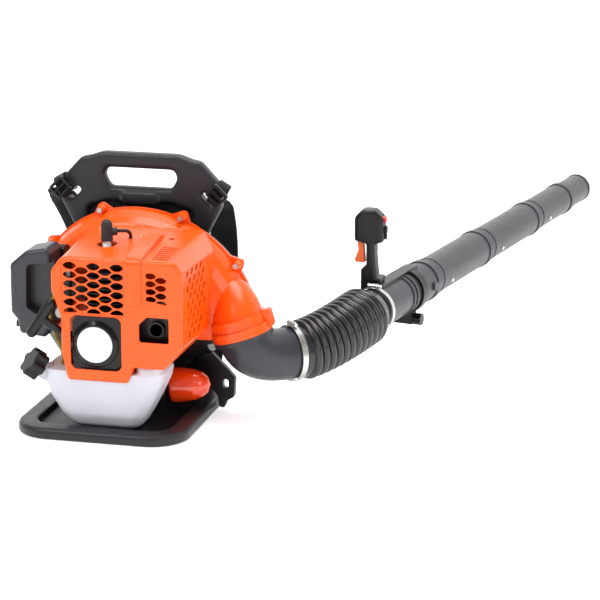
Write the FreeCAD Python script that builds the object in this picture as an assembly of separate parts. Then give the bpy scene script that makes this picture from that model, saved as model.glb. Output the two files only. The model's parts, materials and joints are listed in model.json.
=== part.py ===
import FreeCAD, Part
import math
import os

# Backpack leaf blower, millimetres.
# Origin: centre of the underside of the base plate.
# +X to the right seen from the engine side, +Y towards the wearer's back, +Z up.

Vec = FreeCAD.Vector

# ---- driving dimensions ------------------------------------------------------------------
WALL = 3.0
RUNNING_GAP = 0.05

BASE_HALF_WIDTH = 152.0
BASE_FRONT = -168.0
BASE_BACK = 142.0
BASE_HEIGHT = 20.0
TRAY_FLOOR = 9.0

PLATE_FRONT = 116.0
PLATE_BACK = 142.0
PLATE_TOP = 442.0

CRANK_X = 0.0
CRANK_Z = 165.0
CRANK_THROW = 16.0
STROKE = 2 * CRANK_THROW
CYLINDER_Y = -72.0
BORE_RADIUS = 20.0

FLANGE_Y = 75.0
REAR_WALL = 110.0
DOME_DEPTH = 62.0
ORANGE_BOTTOM = 142.0
FOOT_CENTRE = (208.0, 36.0)
FOOT_RADIUS = 53.0
FOOT_BOTTOM = 150.0
FOOT_TILT = 17.0
DUCT_RADIUS = 42.0

COVER_FRONT = -148.0
COVER_BACK = 60.0

TANK_TOP = 118.0
ELBOW_HEADING = 45.0
ELBOW_OUTER = 46.0
ELBOW_END = (280.8, 108.8, 103.0)
ELBOW_PULL = 130.0

HOSE_START = (269.6, 97.6, 103.0)
TUBE_START = (378.0, 291.0, 136.0)
TUBE_HEADING = 79.0
SECTION_ENDS = (0.0, 247.0, 525.0, 812.0, 1023.0, 1137.0)
TUBE_RADIUS = 38.0
RADIUS_STEP = 1.8
TUBE_WALL = 2.4

GRIP_X = 368.0
GRIP_Y = 330.0

PULL_DIRECTION = Vec(-0.77, -0.25, 0.59).normalize()
ROPE_EXIT = Vec(-53.0, -129.0, 174.0)

NODES = {}


# ---- drawing helpers ---------------------------------------------------------------------
def block(x, y, z):
    """A box between its low and high limits along each axis."""
    solid = Part.makeBox(x[1] - x[0], y[1] - y[0], z[1] - z[0])
    solid.translate(Vec(x[0], y[0], z[0]))
    return solid


def rod(start, end, radius):
    run = Vec(*end) - Vec(*start)
    return Part.makeCylinder(radius, run.Length, Vec(*start), run)


def ring(start, end, outer, inner):
    return rod(start, end, outer).cut(rod(start, end, inner))


def taper(start, end, first, last):
    """A cone frustum, or a plain rod where both radii are the same."""
    if abs(first - last) < 0.001:
        return rod(start, end, first)
    run = Vec(*end) - Vec(*start)
    return Part.makeCone(first, last, run.Length, Vec(*start), run)


def join(first, *others):
    return first.fuse(list(others)).removeSplitter()


def group(solids):
    return Part.makeCompound(list(solids))


def rounded_wire(corners, place):
    """A closed wire through (u, v, radius) corners; place turns u, v into a point."""
    marks = []
    count = len(corners)
    for index, (u, v, radius) in enumerate(corners):
        here = place(u, v)
        back = (place(*corners[index - 1][:2]) - here).normalize()
        ahead = (place(*corners[(index + 1) % count][:2]) - here).normalize()
        half = back.getAngle(ahead) / 2
        if radius == 0 or half > math.radians(89):
            marks.append((here, None, here))
            continue
        reach = radius / math.tan(half)
        bulge = here + (back + ahead).normalize() * (radius / math.sin(half) - radius)
        marks.append((here + back * reach, bulge, here + ahead * reach))
    edges = []
    for index, (enter, bulge, leave) in enumerate(marks):
        if bulge is not None:
            edges.append(Part.Arc(enter, bulge, leave).toShape())
        following = marks[(index + 1) % count][0]
        if leave.distanceToPoint(following) > 0.001:
            edges.append(Part.makeLine(leave, following))
    return Part.Wire(edges)


def slab_xz(corners, y):
    wire = rounded_wire(corners, lambda u, v: Vec(u, y[0], v))
    return Part.Face(wire).extrude(Vec(0, y[1] - y[0], 0))


def slab_xy(corners, z):
    wire = rounded_wire(corners, lambda u, v: Vec(u, v, z[0]))
    return Part.Face(wire).extrude(Vec(0, 0, z[1] - z[0]))


def slab_yz(corners, x):
    wire = rounded_wire(corners, lambda u, v: Vec(x[0], u, v))
    return Part.Face(wire).extrude(Vec(x[1] - x[0], 0, 0))


def rectangle(u, v, radius):
    return [(u[0], v[0], radius), (u[1], v[0], radius), (u[1], v[1], radius), (u[0], v[1], radius)]


def soften(solid, radius, chosen):
    """Round the chosen edges, or leave them sharp where they can't be rounded."""
    edges = [edge for edge in solid.Edges if chosen(edge.BoundBox)]
    if not edges:
        return solid
    try:
        smooth = solid.makeFillet(radius, edges)
    except Part.OCCError:
        return solid
    return smooth if smooth.isValid() else solid


def turned(profile, base, axis):
    """A solid of revolution of (radius, height) points, standing on base along axis."""
    points = [Vec(radius, 0, height) for radius, height in profile]
    solid = Part.Face(Part.makePolygon(points + points[:1])).revolve(Vec(), Vec(0, 0, 1), 360)
    return stood(solid, base, axis)


def stood(solid, base, axis):
    """Move a solid drawn about +Z so that it stands on base along axis."""
    turn = FreeCAD.Rotation(Vec(0, 0, 1), Vec(*axis))
    return solid.transformGeometry(FreeCAD.Placement(Vec(*base), turn).toMatrix())


def bolt(base, axis, shank, length, head):
    """A screw whose head's underside is at base; its shank runs against axis."""
    up = Vec(*axis).normalize()
    low = Vec(*base) - up * length
    body = rod(tuple(low), base, shank)
    return join(body, rod(base, tuple(Vec(*base) + up * shank * 1.4), head))


def worm_clamp(centre, axis, radius, width):
    """A hose clamp: a thin band with its screw housing and worm screw on top."""
    along = Vec(*axis).normalize()
    half = along * (width / 2)
    band = ring(tuple(Vec(*centre) - half), tuple(Vec(*centre) + half), radius + 1.2, radius)
    side = along.cross(Vec(0, 0, 1)).normalize()
    up = side.cross(along).normalize()
    seat = Vec(*centre) + up * (radius + 4)
    house = rod(tuple(seat - side * 9), tuple(seat + side * 9), 5.0)
    screw = rod(tuple(seat + side * 9), tuple(seat + side * 16), 3.6)
    shape = join(band, house, screw)
    return shape.cut(rod(tuple(Vec(*centre) - half * 3), tuple(Vec(*centre) + half * 3), radius))


# ---- carrying frame ----------------------------------------------------------------------
def base_outline(inset):
    half = BASE_HALF_WIDTH - inset
    front = BASE_FRONT + inset
    back = BASE_BACK - inset
    return [(-half, front, 66 - inset), (half, front, 66 - inset),
            (half, back, 24 - inset / 2), (-half, back, 24 - inset / 2)]


def base_plate():
    plate = slab_xy(base_outline(0), (0, BASE_HEIGHT))
    plate = soften(plate, 7.0, lambda box: box.ZMin > BASE_HEIGHT - 0.1)
    plate = soften(plate, 4.0, lambda box: box.ZMax < 0.1)
    tray = slab_xy(base_outline(34), (TRAY_FLOOR, BASE_HEIGHT + 1))
    plate = plate.cut(tray)
    for x in FOOT_BOLTS:
        plate = plate.cut(rod((x, PLATE_FRONT - 8, 3), (x, PLATE_FRONT - 8, 40), 3.2))
    return plate


PLATE_OUTLINE = [(-128, BASE_HEIGHT, 6), (128, BASE_HEIGHT, 6), (118, 150, 60), (118, 296, 40),
                 (147, 352, 16), (147, 390, 16), (109, 431, 10), (92, 434, 10), (70, PLATE_TOP, 40),
                 (-70, PLATE_TOP, 40), (-92, 434, 10), (-109, 431, 10), (-147, 390, 16), (-147, 352, 16),
                 (-118, 296, 40), (-118, 150, 60)]
SLOT_PLACES = (-1, 1)
CARRY_OPENING = [(-56, 381, 8), (56, 381, 8), (67, 400, 12), (60, 414, 8), (-60, 414, 8), (-67, 400, 12)]


def strap_slot(side):
    """The slanted strap slot in one upper corner of the back plate."""
    corners = [(108 * side, 372, 3), (128 * side, 352, 3), (136 * side, 360, 3), (116 * side, 380, 3)]
    return slab_xz(corners, (PLATE_FRONT - 5, PLATE_BACK + 5))


def back_plate():
    plate = slab_xz(PLATE_OUTLINE, (PLATE_FRONT, PLATE_BACK))
    plate = soften(plate, 6.0, lambda box: box.YMax < PLATE_FRONT + 0.1 and box.ZMax > 60)
    plate = soften(plate, 6.0, lambda box: box.YMin > PLATE_BACK - 0.1 and box.ZMax > 60)
    plate = plate.cut(slab_xz(CARRY_OPENING, (PLATE_FRONT - 5, PLATE_BACK + 5)))
    plate = soften(plate, 9.0, lambda box: is_handle_edge(box))
    pocket = [(-100, 34, 10), (100, 34, 10), (92, 150, 50), (92, 290, 40), (100, 344, 14),
              (60, 356, 12), (-60, 356, 12), (-100, 344, 14), (-92, 290, 40), (-92, 150, 50)]
    plate = plate.cut(slab_xz(pocket, (PLATE_FRONT - 5, PLATE_BACK - 8)))
    for side in SLOT_PLACES:
        plate = plate.cut(strap_slot(side))
    ledge = slab_xz(rectangle((-34, 34), (352, 372), 6), (PLATE_FRONT - 4, PLATE_FRONT + 2))
    foot = block((-120, 120), (PLATE_FRONT - 16, PLATE_FRONT + 8), (BASE_HEIGHT, FOOT_TOP))
    posts = [rod((x, REAR_WALL + DAMPER_LENGTH, z), (x, PLATE_BACK - 8, z), 13) for x, z in DAMPER_PLACES]
    plate = join(plate, ledge, foot, *posts)
    for x in FOOT_BOLTS:
        plate = plate.cut(rod((x, PLATE_FRONT - 8, 0), (x, PLATE_FRONT - 8, 40), 3.2))
    return plate


def is_handle_edge(box):
    inside_opening = box.XMin > -69 and box.XMax < 69 and box.ZMin > 380 and box.ZMax < 416
    flat = box.YMax - box.YMin < 0.1
    return inside_opening and flat


DAMPER_PLACES = ((-70, 70), (70, 70), (0, 318))
DAMPER_LENGTH = 12.0
FOOT_TOP = BASE_HEIGHT + 6
FOOT_BOLTS = (-110, -40, 40, 110)


def frame_bolts():
    return [bolt((x, PLATE_FRONT - 8, FOOT_TOP), (0, 0, 1), 3.0, 22, 5.6) for x in FOOT_BOLTS]


def side_bracket():
    corners = [(110, 56, 4), (140, 44, 4), (154, 28, 5), (157, 8, 4), (166, 7, 4), (171, 20, 5),
               (184, 28, 6), (186, 62, 8), (174, 76, 4), (140, 110, 4), (118, 104, 4)]
    panel = biggest(slab_xz(corners, (60, 72)).cut(dome(0)))
    hole = slab_xz([(164, 43, 4.4), (174, 43, 4.4), (174, 59, 4.4), (164, 59, 4.4)], (55, 80))
    return soften(panel.cut(hole), 2.0, lambda box: box.YMax < 60.1)


def back_pad():
    pad = slab_xz(rectangle((-92, 92), (52, 330), 36), (PLATE_BACK, PLATE_BACK + 22))
    return soften(pad, 9.0, lambda box: box.YMin > PLATE_BACK + 21.9)


PAD_WIDTH = 56.0
PAD_LEAN = {-1: 17.0, 1: 0.0}
PAD_X = {-1: -171.0, 1: 123.0}
PAD_FOOT_X = {-1: -113.0, 1: 123.0}
STRAP_LINE = [(150, 362), (192, 344), (222, 286), (222, 212), (198, 150)]
LOWER_LINE = [(197.6, 149), (176, 96), (150, 44)]


def band_yz(line, thickness, x, radius):
    """A flat band of constant thickness following a line in the YZ plane."""
    left = []
    right = []
    for index, (y, z) in enumerate(line):
        before = Vec(*line[max(index - 1, 0)])
        after = Vec(*line[min(index + 1, len(line) - 1)])
        along = (after - before).normalize()
        left.append((y - along.y * thickness / 2, z + along.x * thickness / 2, radius))
        right.append((y + along.y * thickness / 2, z - along.x * thickness / 2, radius))
    for side in (left, right):
        side[0] = side[0][:2] + (0.5,)
        side[-1] = side[-1][:2] + (0.5,)
    return slab_yz(left + right[::-1], x)


def shoulder_pad(side):
    """A padded strap that hangs behind the plate; the left one leans inwards at its foot."""
    low = PAD_X[side] - PAD_WIDTH / 2
    pad = band_yz(STRAP_LINE, 13, (low, low + PAD_WIDTH), 30)
    pad.rotate(Vec(PAD_X[side], 0, 350), Vec(0, 1, 0), -PAD_LEAN[side])
    return pad


def corner_loop(side):
    """The short webbing loop from the strap slot round the plate's upper corner."""
    corners = [(side * 124, 366, 1), (side * 146, 398, 1), (side * 162, 384, 2), (side * 150, 354, 2)]
    loop = slab_xz(corners, (PLATE_FRONT - 8, PLATE_BACK + 5))
    outline = slab_xz(PLATE_OUTLINE, (PLATE_FRONT - 0.2, PLATE_BACK + 0.2))
    return loop.cut(outline)


def webbing():
    straps = []
    for side in SLOT_PLACES:
        middle = PAD_FOOT_X[side]
        straps.append(band_yz(LOWER_LINE, 2.4, (middle - 12, middle + 12), 20))
        straps.append(corner_loop(side))
    return group(straps)


def strap_buckles():
    """Ladder-lock buckles on the webbing in front of the two upper corners."""
    buckles = []
    for side in SLOT_PLACES:
        frame = slab_xz(rectangle((-17, 17), (-14, 14), 5), (PLATE_FRONT - 16, PLATE_FRONT - 8.4))
        for low in (-9, 2):
            frame = frame.cut(block((-12, 12), (80, 120), (low, low + 7)))
        frame = soften(frame, 1.5, lambda box: box.YMax < PLATE_FRONT - 15.9)
        frame.rotate(Vec(), Vec(0, 1, 0), side * 45)
        frame.translate(Vec(side * 143, 0, 378))
        buckles.append(frame)
    return group(buckles)


# ---- fan ---------------------------------------------------------------------------------
SPIRAL = ((0, 224), (30, 209), (60, 196.5), (90, 189.5), (120, 188), (150, 184), (180, 172),
          (210, 154), (240, 141), (270, 134), (300, 131), (330, 138))


def volute_wire(y, inset):
    """The scroll's outline: a closed smooth curve at height y, drawn in by inset."""
    points = []
    for degrees, radius in SPIRAL:
        angle = math.radians(degrees)
        reach = radius - inset
        points.append(Vec(CRANK_X + reach * math.cos(angle), y, CRANK_Z + reach * math.sin(angle)))
    curve = Part.BSplineCurve()
    curve.interpolate(Points=points, PeriodicFlag=True)
    return Part.Wire(curve.toShape())


DOME_PROFILE = ((0, 0), (16, 2.5), (30, 8), (42, 17), (51, 30), (58, 48), (DOME_DEPTH, 70))


def dome(skin):
    """The scroll's domed front half as a solid, thinner by skin all over."""
    wires = [volute_wire(FLANGE_Y + skin, skin)]
    for rise, inset in DOME_PROFILE[1:]:
        wires.append(volute_wire(FLANGE_Y - rise + skin, inset + skin))
    return Part.makeLoft(wires, True, True)


def foot_place(rise):
    """A point on the outlet's leaning axis, rise above the middle of its mouth."""
    lean = math.radians(FOOT_TILT)
    x, y = FOOT_CENTRE
    return (x - rise * math.sin(lean), y, FOOT_BOTTOM + rise * math.cos(lean))


def foot_body(skin):
    """The outlet: a skirt that runs down from the scroll to the round outlet band."""
    lean = Vec(-0.25, 0.05, 1)
    circles = [Part.makeCircle(47 - skin, Vec(*foot_place(0)), foot_up()),
               Part.makeCircle(45 - skin, Vec(*foot_place(34)), foot_up()),
               Part.makeCircle(34 - skin, Vec(187, 50, 218), lean),
               Part.makeCircle(8 - skin, Vec(164, 62, 254 - 2 * skin), lean)]
    return Part.makeLoft([Part.Wire(circle) for circle in circles], True, False)


def foot_up():
    return Vec(*foot_place(1)) - Vec(*foot_place(0))


def foot_band():
    """Two stepped rings round the outlet's mouth with a screw lug on the right."""
    low = rod(foot_place(0), foot_place(16), FOOT_RADIUS)
    high = rod(foot_place(0), foot_place(34), 49.5)
    x, y = FOOT_CENTRE
    lug = block((x + 44, x + 61), (y - 8, y + 8), (FOOT_BOTTOM + 4, FOOT_BOTTOM + 36))
    lug = soften(lug, 5.0, lambda box: box.XMin > x + 60.9 and box.YMax - box.YMin > 10)
    lug.rotate(Vec(x, y, FOOT_BOTTOM), Vec(0, 1, 0), -FOOT_TILT)
    return join(low, high, lug)


def rim_boss(degrees):
    """A conical screw lug on the flange's edge, standing on a low triangular ear."""
    angle = math.radians(degrees)
    radius = spiral_radius(degrees) + BOSS_OUT
    x = CRANK_X + radius * math.cos(angle)
    z = CRANK_Z + radius * math.sin(angle)
    lug = turned([(0, 0), (9, 0), (9, 4), (7.6, 8), (6, 22), (0, 22)], (x, FLANGE_Y, z), (0, -1, 0))
    corners = [(radius - 20, -32, 3), (radius + 14, 0, 8.0), (radius - 20, 32, 3)]
    ear = slab_xz(corners, (FLANGE_Y - 6, FLANGE_Y))
    web = slab_xz([(radius - 34, -1.3, 0), (radius, -1.3, 0), (radius, 1.3, 0), (radius - 34, 1.3, 0)],
                  (FLANGE_Y - 20, FLANGE_Y))
    brace = ear.fuse(web)
    brace.rotate(Vec(), Vec(0, 1, 0), -degrees)
    brace.translate(Vec(CRANK_X, 0, CRANK_Z))
    return lug.fuse(brace)


def rim_lip():
    """The thin raised edge that runs round the orange shell where it meets the rear shell."""
    outer = Part.Face(volute_wire(FLANGE_Y, -2.5)).extrude(Vec(0, -5, 0))
    return upper(outer.cut(Part.Face(volute_wire(FLANGE_Y, 6)).extrude(Vec(0, -5, 0))))


def spiral_radius(degrees):
    for (low, first), (high, last) in zip(SPIRAL, SPIRAL[1:]):
        if low <= degrees <= high:
            return first + (last - first) * (degrees - low) / (high - low)
    return SPIRAL[-1][1]


BOSS_OUT = 6.0
BOSS_ANGLES = (28, 63, 106, 140)


def boss_place(degrees, y):
    angle = math.radians(degrees)
    radius = spiral_radius(degrees) + BOSS_OUT
    return (CRANK_X + radius * math.cos(angle), y, CRANK_Z + radius * math.sin(angle))


def below_outlet(skin):
    """The space under the outlet's leaning floor, outside the scroll."""
    rise = math.tan(math.radians(FOOT_TILT))
    left = 148 - skin
    floor = FOOT_BOTTOM + skin - FOOT_CENTRE[0] * rise
    corners = [(left, 0, 0), (330, 0, 0), (330, floor + 330 * rise, 0), (left, floor + left * rise, 0)]
    return slab_xz(corners, (-100, 200))


def upper(solid):
    return solid.common(block((-300, 300), (-100, 200), (ORANGE_BOTTOM, 500)))


def lower(solid):
    return solid.cut(block((-300, 300), (-100, 200), (ORANGE_BOTTOM, 500)))


def fan_housing_front():
    scroll = upper(dome(0))
    shell = join(scroll, rim_lip()).cut(below_outlet(0))
    shell = join(shell, foot_body(0), foot_band(), *[rim_boss(angle) for angle in BOSS_ANGLES])
    shell = shell.cut(block((-300, 300), (FLANGE_Y, 200), (0, 500)))
    inner = upper(dome(WALL)).cut(below_outlet(WALL)).fuse(foot_body(WALL))
    shell = shell.cut(inner)
    shell = shell.cut(rod(foot_place(-5), foot_place(8), DUCT_RADIUS))
    shell = shell.cut(rod((0, -40, CRANK_Z), (0, FLANGE_Y, CRANK_Z), 24))
    shell = shell.cut(lug_hole())
    for angle in BOSS_ANGLES:
        shell = shell.cut(rod(boss_place(angle, 40), boss_place(angle, FLANGE_Y + 1), 2.6))
    return biggest(shell)


def lug_hole():
    """The screw hole in the front right of the outlet's band."""
    x, y = FOOT_CENTRE
    start = Vec(x + 30, y - 40, FOOT_BOTTOM + 20)
    return rod(tuple(start), tuple(start + Vec(20, -22, 0)), 3.4)


def biggest(shape):
    return max(shape.Solids, key=lambda solid: solid.Volume)


REAR_INSET = 9.0


def fan_housing_rear():
    """The dark rear shell: a flange against the orange rim and a smaller drum behind it."""
    outer = Part.Face(volute_wire(FLANGE_Y, REAR_INSET)).extrude(Vec(0, REAR_WALL - FLANGE_Y, 0))
    flange = Part.Face(volute_wire(FLANGE_Y, 0)).extrude(Vec(0, 5, 0))
    floor = Part.Face(volute_wire(FLANGE_Y, REAR_INSET + WALL))
    inner = floor.extrude(Vec(0, REAR_WALL - FLANGE_Y - WALL, 0))
    hollow = lower(dome(WALL)).common(block((-300, 300), (-100, FLANGE_Y), (0, 500)))
    outer = join(outer, flange, lower(dome(0))).cut(below_outlet(0))
    shell = outer.cut(join(inner, hollow).cut(below_outlet(WALL)))
    shell = shell.cut(rod((0, 0, CRANK_Z), (0, FLANGE_Y, CRANK_Z), 24))
    shell = shell.cut(rod((0, FLANGE_Y, CRANK_Z), (0, 200, CRANK_Z), 74))
    shell = shell.cut(rod(foot_place(-30), foot_place(34), FOOT_RADIUS + 0.5))
    shell = biggest(shell.cut(foot_body(-0.2)))
    for angle in BOSS_ANGLES:
        shell = shell.fuse(bridge(angle))
    for angle in BOSS_ANGLES:
        shell = shell.cut(rod(boss_place(angle, 60), boss_place(angle, 90), 2.6))
    return biggest(shell)


def bridge(degrees):
    """A screw pad with the short ear that ties it to the rear flange."""
    radius = spiral_radius(degrees) + BOSS_OUT
    ear = slab_xz([(radius - 9, -10, 2), (radius + 8, -4, 4), (radius + 8, 4, 4), (radius - 9, 10, 2)],
                  (FLANGE_Y, FLANGE_Y + 8))
    ear.rotate(Vec(), Vec(0, 1, 0), -degrees)
    ear.translate(Vec(CRANK_X, 0, CRANK_Z))
    return ear


def intake_guard():
    """The round grille over the air inlet, facing the back plate."""
    y = REAR_WALL
    guard = ring((0, y, CRANK_Z), (0, y + 3, CRANK_Z), 80, 72)
    rings = [ring((0, y, CRANK_Z), (0, y + 3, CRANK_Z), radius + 2.2, radius) for radius in (18, 36, 54)]
    hub = rod((0, y, CRANK_Z), (0, y + 3, CRANK_Z), 8)
    spokes = []
    for index in range(6):
        spoke = block((4, 76), (y, y + 3), (CRANK_Z - 1.5, CRANK_Z + 1.5))
        spoke.rotate(Vec(0, y, CRANK_Z), Vec(0, 1, 0), 60 * index)
        spokes.append(spoke)
    return join(guard, hub, *rings, *spokes)


def screws():
    """Every visible screw: four round the fan housing and four in the back plate's foot."""
    housing = [bolt(boss_place(angle, FLANGE_Y - 22), (0, -1, 0), 2.5, 30, 4.6) for angle in BOSS_ANGLES]
    return group(housing + frame_bolts())


BLADES = 9
IMPELLER_RADIUS = 110.0


def impeller():
    y0 = 40.0
    plate = rod((0, y0, CRANK_Z), (0, y0 + 3, CRANK_Z), IMPELLER_RADIUS)
    hub = turned([(9.05, 0), (26, 0), (22, 30), (12, 44), (9.05, 44)], (0, y0 - 4, CRANK_Z), (0, 1, 0))
    blades = []
    for index in range(BLADES):
        blade = curved_blade(y0 + 3)
        blade.rotate(Vec(0, 0, CRANK_Z), Vec(0, 1, 0), 360 / BLADES * index)
        blades.append(blade)
    wheel = join(plate, *blades).cut(rod((0, y0 - 5, CRANK_Z), (0, y0 + 60, CRANK_Z), 20))
    return join(wheel, hub).cut(rod((0, y0 - 10, CRANK_Z), (0, 130, CRANK_Z), 9.0))


def curved_blade(y):
    """One backward-swept blade standing on the impeller's plate."""
    inner = Part.Arc(Vec(21, y, CRANK_Z), Vec(66, y, CRANK_Z + 17), Vec(106, y, CRANK_Z + 12)).toShape()
    outer = Part.Arc(Vec(106, y, CRANK_Z + 14.5), Vec(66, y, CRANK_Z + 19.5), Vec(21, y, CRANK_Z + 2.5)).toShape()
    caps = [Part.makeLine(Vec(106, y, CRANK_Z + 12), Vec(106, y, CRANK_Z + 14.5)),
            Part.makeLine(Vec(21, y, CRANK_Z + 2.5), Vec(21, y, CRANK_Z))]
    return Part.Face(Part.Wire([inner, caps[0], outer, caps[1]])).extrude(Vec(0, 46, 0))


# ---- engine ------------------------------------------------------------------------------
def crankcase():
    body = slab_xz(rectangle((-40, 40), (124, 205), 14), (-108, -16))
    body = soften(body, 5.0, lambda box: box.YMax < -107.9)
    mount = block((-50, 50), (-20, -16), (128, 202))
    legs = [rod((x, -18, z), (x, FLANGE_Y - DOME_DEPTH, z), 5) for x in (-44, 44) for z in (134, 196)]
    body = join(body, mount, rod((0, -16, CRANK_Z), (0, -13, CRANK_Z), 16), *legs)
    body = body.cut(rod((0, -98, CRANK_Z), (0, -46, CRANK_Z), 34))
    body = body.cut(rod((0, CYLINDER_Y, CRANK_Z), (0, CYLINDER_Y, 210), 24.0))
    return body.cut(rod((0, -60, CRANK_Z), (0, 0, CRANK_Z), 9 + RUNNING_GAP))


def crankshaft():
    """Half crank: one web with an overhung pin; the shaft drives flywheel and impeller."""
    shaft = rod((0, -54, CRANK_Z), (0, 84, CRANK_Z), 9)
    web = rod((0, -60, CRANK_Z), (0, -52, CRANK_Z), 30)
    for side in (-1, 1):
        web = web.cut(rod((side * 27, -61, CRANK_Z + 22), (side * 27, -51, CRANK_Z + 22), 16))
    pin = rod((0, -68, CRANK_Z + CRANK_THROW), (0, -58, CRANK_Z + CRANK_THROW), 6)
    nut = turned([(0, 0), (11, 0), (11, 8), (5, 14), (0, 14)], (0, 84, CRANK_Z), (0, 1, 0))
    return join(shaft, web, pin, nut)


def flywheel():
    wheel = ring((0, -10, CRANK_Z), (0, 2, CRANK_Z), 46, 9)
    fins = []
    for index in range(16):
        fin = block((24, 45), (2, 6), (CRANK_Z - 1, CRANK_Z + 1))
        fin.rotate(Vec(0, 0, CRANK_Z), Vec(0, 1, 0), 22.5 * index)
        fins.append(fin)
    magnet = block((30, 47), (-10, 2), (CRANK_Z - 9, CRANK_Z + 9))
    return join(wheel, magnet, *fins)


PISTON_TOP = 278.0
PISTON_HEIGHT = 30.0
WRIST_Z = 262.0


def cylinder():
    y = CYLINDER_Y
    barrel = rod((0, y, 205), (0, y, 292), 25)
    barrel = join(barrel, rod((0, y, 205), (0, y, 210), 34))
    fins = [rod((0, y, 218 + 9 * index), (0, y, 220.4 + 9 * index), 40) for index in range(8)]
    barrel = join(barrel, rod((-43, y, 242), (0, y, 242), 12.8), rod((0, y, 236), (43, y, 236), 13), *fins)
    barrel = barrel.cut(rod((0, y, 200), (0, y, PISTON_TOP + 3), BORE_RADIUS + RUNNING_GAP))
    barrel = barrel.cut(rod((-60, y, 242), (-BORE_RADIUS + 2, y, 242), 8))
    barrel = barrel.cut(rod((BORE_RADIUS - 2, y, 236), (60, y, 236), 9))
    return barrel.cut(rod((0, y, 270), (0, y, 300), 6.0))


def piston():
    y = CYLINDER_Y
    crown = rod((0, y, PISTON_TOP - PISTON_HEIGHT), (0, y, PISTON_TOP), BORE_RADIUS)
    crown = crown.cut(rod((0, y, PISTON_TOP - PISTON_HEIGHT - 1), (0, y, PISTON_TOP - 5), BORE_RADIUS - 3))
    for low in (269, 273):
        crown = crown.cut(ring((0, y, low), (0, y, low + 1.2), BORE_RADIUS + 1, BORE_RADIUS - 1))
    wrist = rod((0, y - 17.5, WRIST_Z), (0, y + 17.5, WRIST_Z), 4.5)
    return join(crown, wrist)


ROD_PLANE = (-77.0, -68.8)


def connecting_rod():
    low = CRANK_Z + CRANK_THROW
    big_end = ring((0, ROD_PLANE[0], low), (0, ROD_PLANE[1], low), 10.5, 6 + RUNNING_GAP)
    small_end = rod((0, ROD_PLANE[0], WRIST_Z), (0, ROD_PLANE[1], WRIST_Z), 8.5)
    shank = slab_xz([(-5.5, low + 8, 0), (5.5, low + 8, 0), (4.5, WRIST_Z - 6, 0), (-4.5, WRIST_Z - 6, 0)],
                    ROD_PLANE)
    rod_body = join(big_end, small_end, shank)
    return rod_body.cut(rod((0, ROD_PLANE[0] - 1, WRIST_Z), (0, ROD_PLANE[1] + 1, WRIST_Z), 4.5))


def spark_plug():
    y = CYLINDER_Y
    thread = rod((0, y, 281), (0, y, 292), 6.0)
    nut = slab_xy([(9.5 * math.cos(math.radians(60 * i)), y + 9.5 * math.sin(math.radians(60 * i)), 0.8)
                   for i in range(6)], (292, 302))
    insulator = turned([(0, 0), (7.6, 0), (7.2, 24), (5.6, 26), (5.6, 37), (0, 37)], (0, y, 302), (0, 0, 1))
    return join(thread, nut, insulator)


def plug_boot():
    y = CYLINDER_Y
    cap = turned([(0, 36), (5, 35.4), (8.4, 32), (9.8, 26), (9.8, 10), (10.6, 0), (5.8, 0), (5.7, 8), (0, 8)],
                 (0, y, 331), (0, 0, 1))
    elbow = rod((0, y, 346), (16, y + 8, 346), 7.0)
    return join(cap, soften(elbow, 2, lambda box: box.XMin > 12))


def ignition_coil():
    """The coil block beside the flywheel and the lead that runs up to the plug boot."""
    body = slab_xz(rectangle((-18, 18), (220, 246), 4), (-14, 2))
    legs = [block((x - 5, x + 5), (-9, -1), (213, 221)) for x in (-11, 11)]
    core = join(body, *legs)
    return group([core, ignition_lead(3.0)])


def ignition_lead(radius):
    return swept([(14, -6, 246), (22, -12, 290), (32, -40, 342), (17.5, CYLINDER_Y + 9, 346.5)], radius)


def swept(points, radius):
    """A round line through a list of points, its corners as large arcs."""
    stations = [Vec(*point) for point in points]
    edges = []
    start = stations[0]
    for before, here, after in zip(stations, stations[1:], stations[2:]):
        back = (before - here).normalize()
        ahead = (after - here).normalize()
        reach = 0.45 * min((before - here).Length, (after - here).Length)
        half = back.getAngle(ahead) / 2
        bend = reach * math.tan(half)
        bulge = here + (back + ahead).normalize() * (bend / math.sin(half) - bend)
        enter = here + back * reach
        leave = here + ahead * reach
        edges.append(Part.makeLine(start, enter))
        edges.append(Part.Arc(enter, bulge, leave).toShape())
        start = leave
    edges.append(Part.makeLine(start, stations[-1]))
    path = Part.Wire(edges)
    circle = Part.makeCircle(radius, stations[0], stations[1] - stations[0])
    return path.makePipeShell([Part.Wire(circle)], True, False)


def muffler():
    y = CYLINDER_Y
    can = slab_xz(rectangle((54, 126), (166, 244), 12), (-122, -50))
    can = soften(can, 8.0, lambda box: box.YMax < -121.9 or box.YMin > -50.1)
    can = can.cut(slab_xz(rectangle((57, 123), (169, 241), 10), (-119, -53)))
    port = ring((43, y, 236), (56, y, 236), 14, 9)
    outlet = ring((103, -131, 196), (103, -119, 196), 13.5, 11)
    can = can.cut(rod((103, -125, 196), (103, -110, 196), 11))
    return join(can, port, outlet)


COVER_OUTLINE = [(-50, 103, 8), (58, 103, 8), (66, 131, 4), (120, 131, 10), (152, 168, 12),
                 (154, 300, 14), (140, 318, 14), (-56, 318, 26), (-76, 292, 18), (-76, 256, 24),
                 (-60, 214, 12), (-60, 150, 8)]
COVER_BACK_OUTLINE = [(-50, 116, 8), (58, 116, 8), (66, 138, 4), (128, 138, 10), (156, 172, 12),
                      (158, 300, 14), (142, 336, 14), (-56, 336, 26), (-80, 300, 18), (-80, 256, 24),
                      (-62, 214, 12), (-62, 150, 8)]


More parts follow.
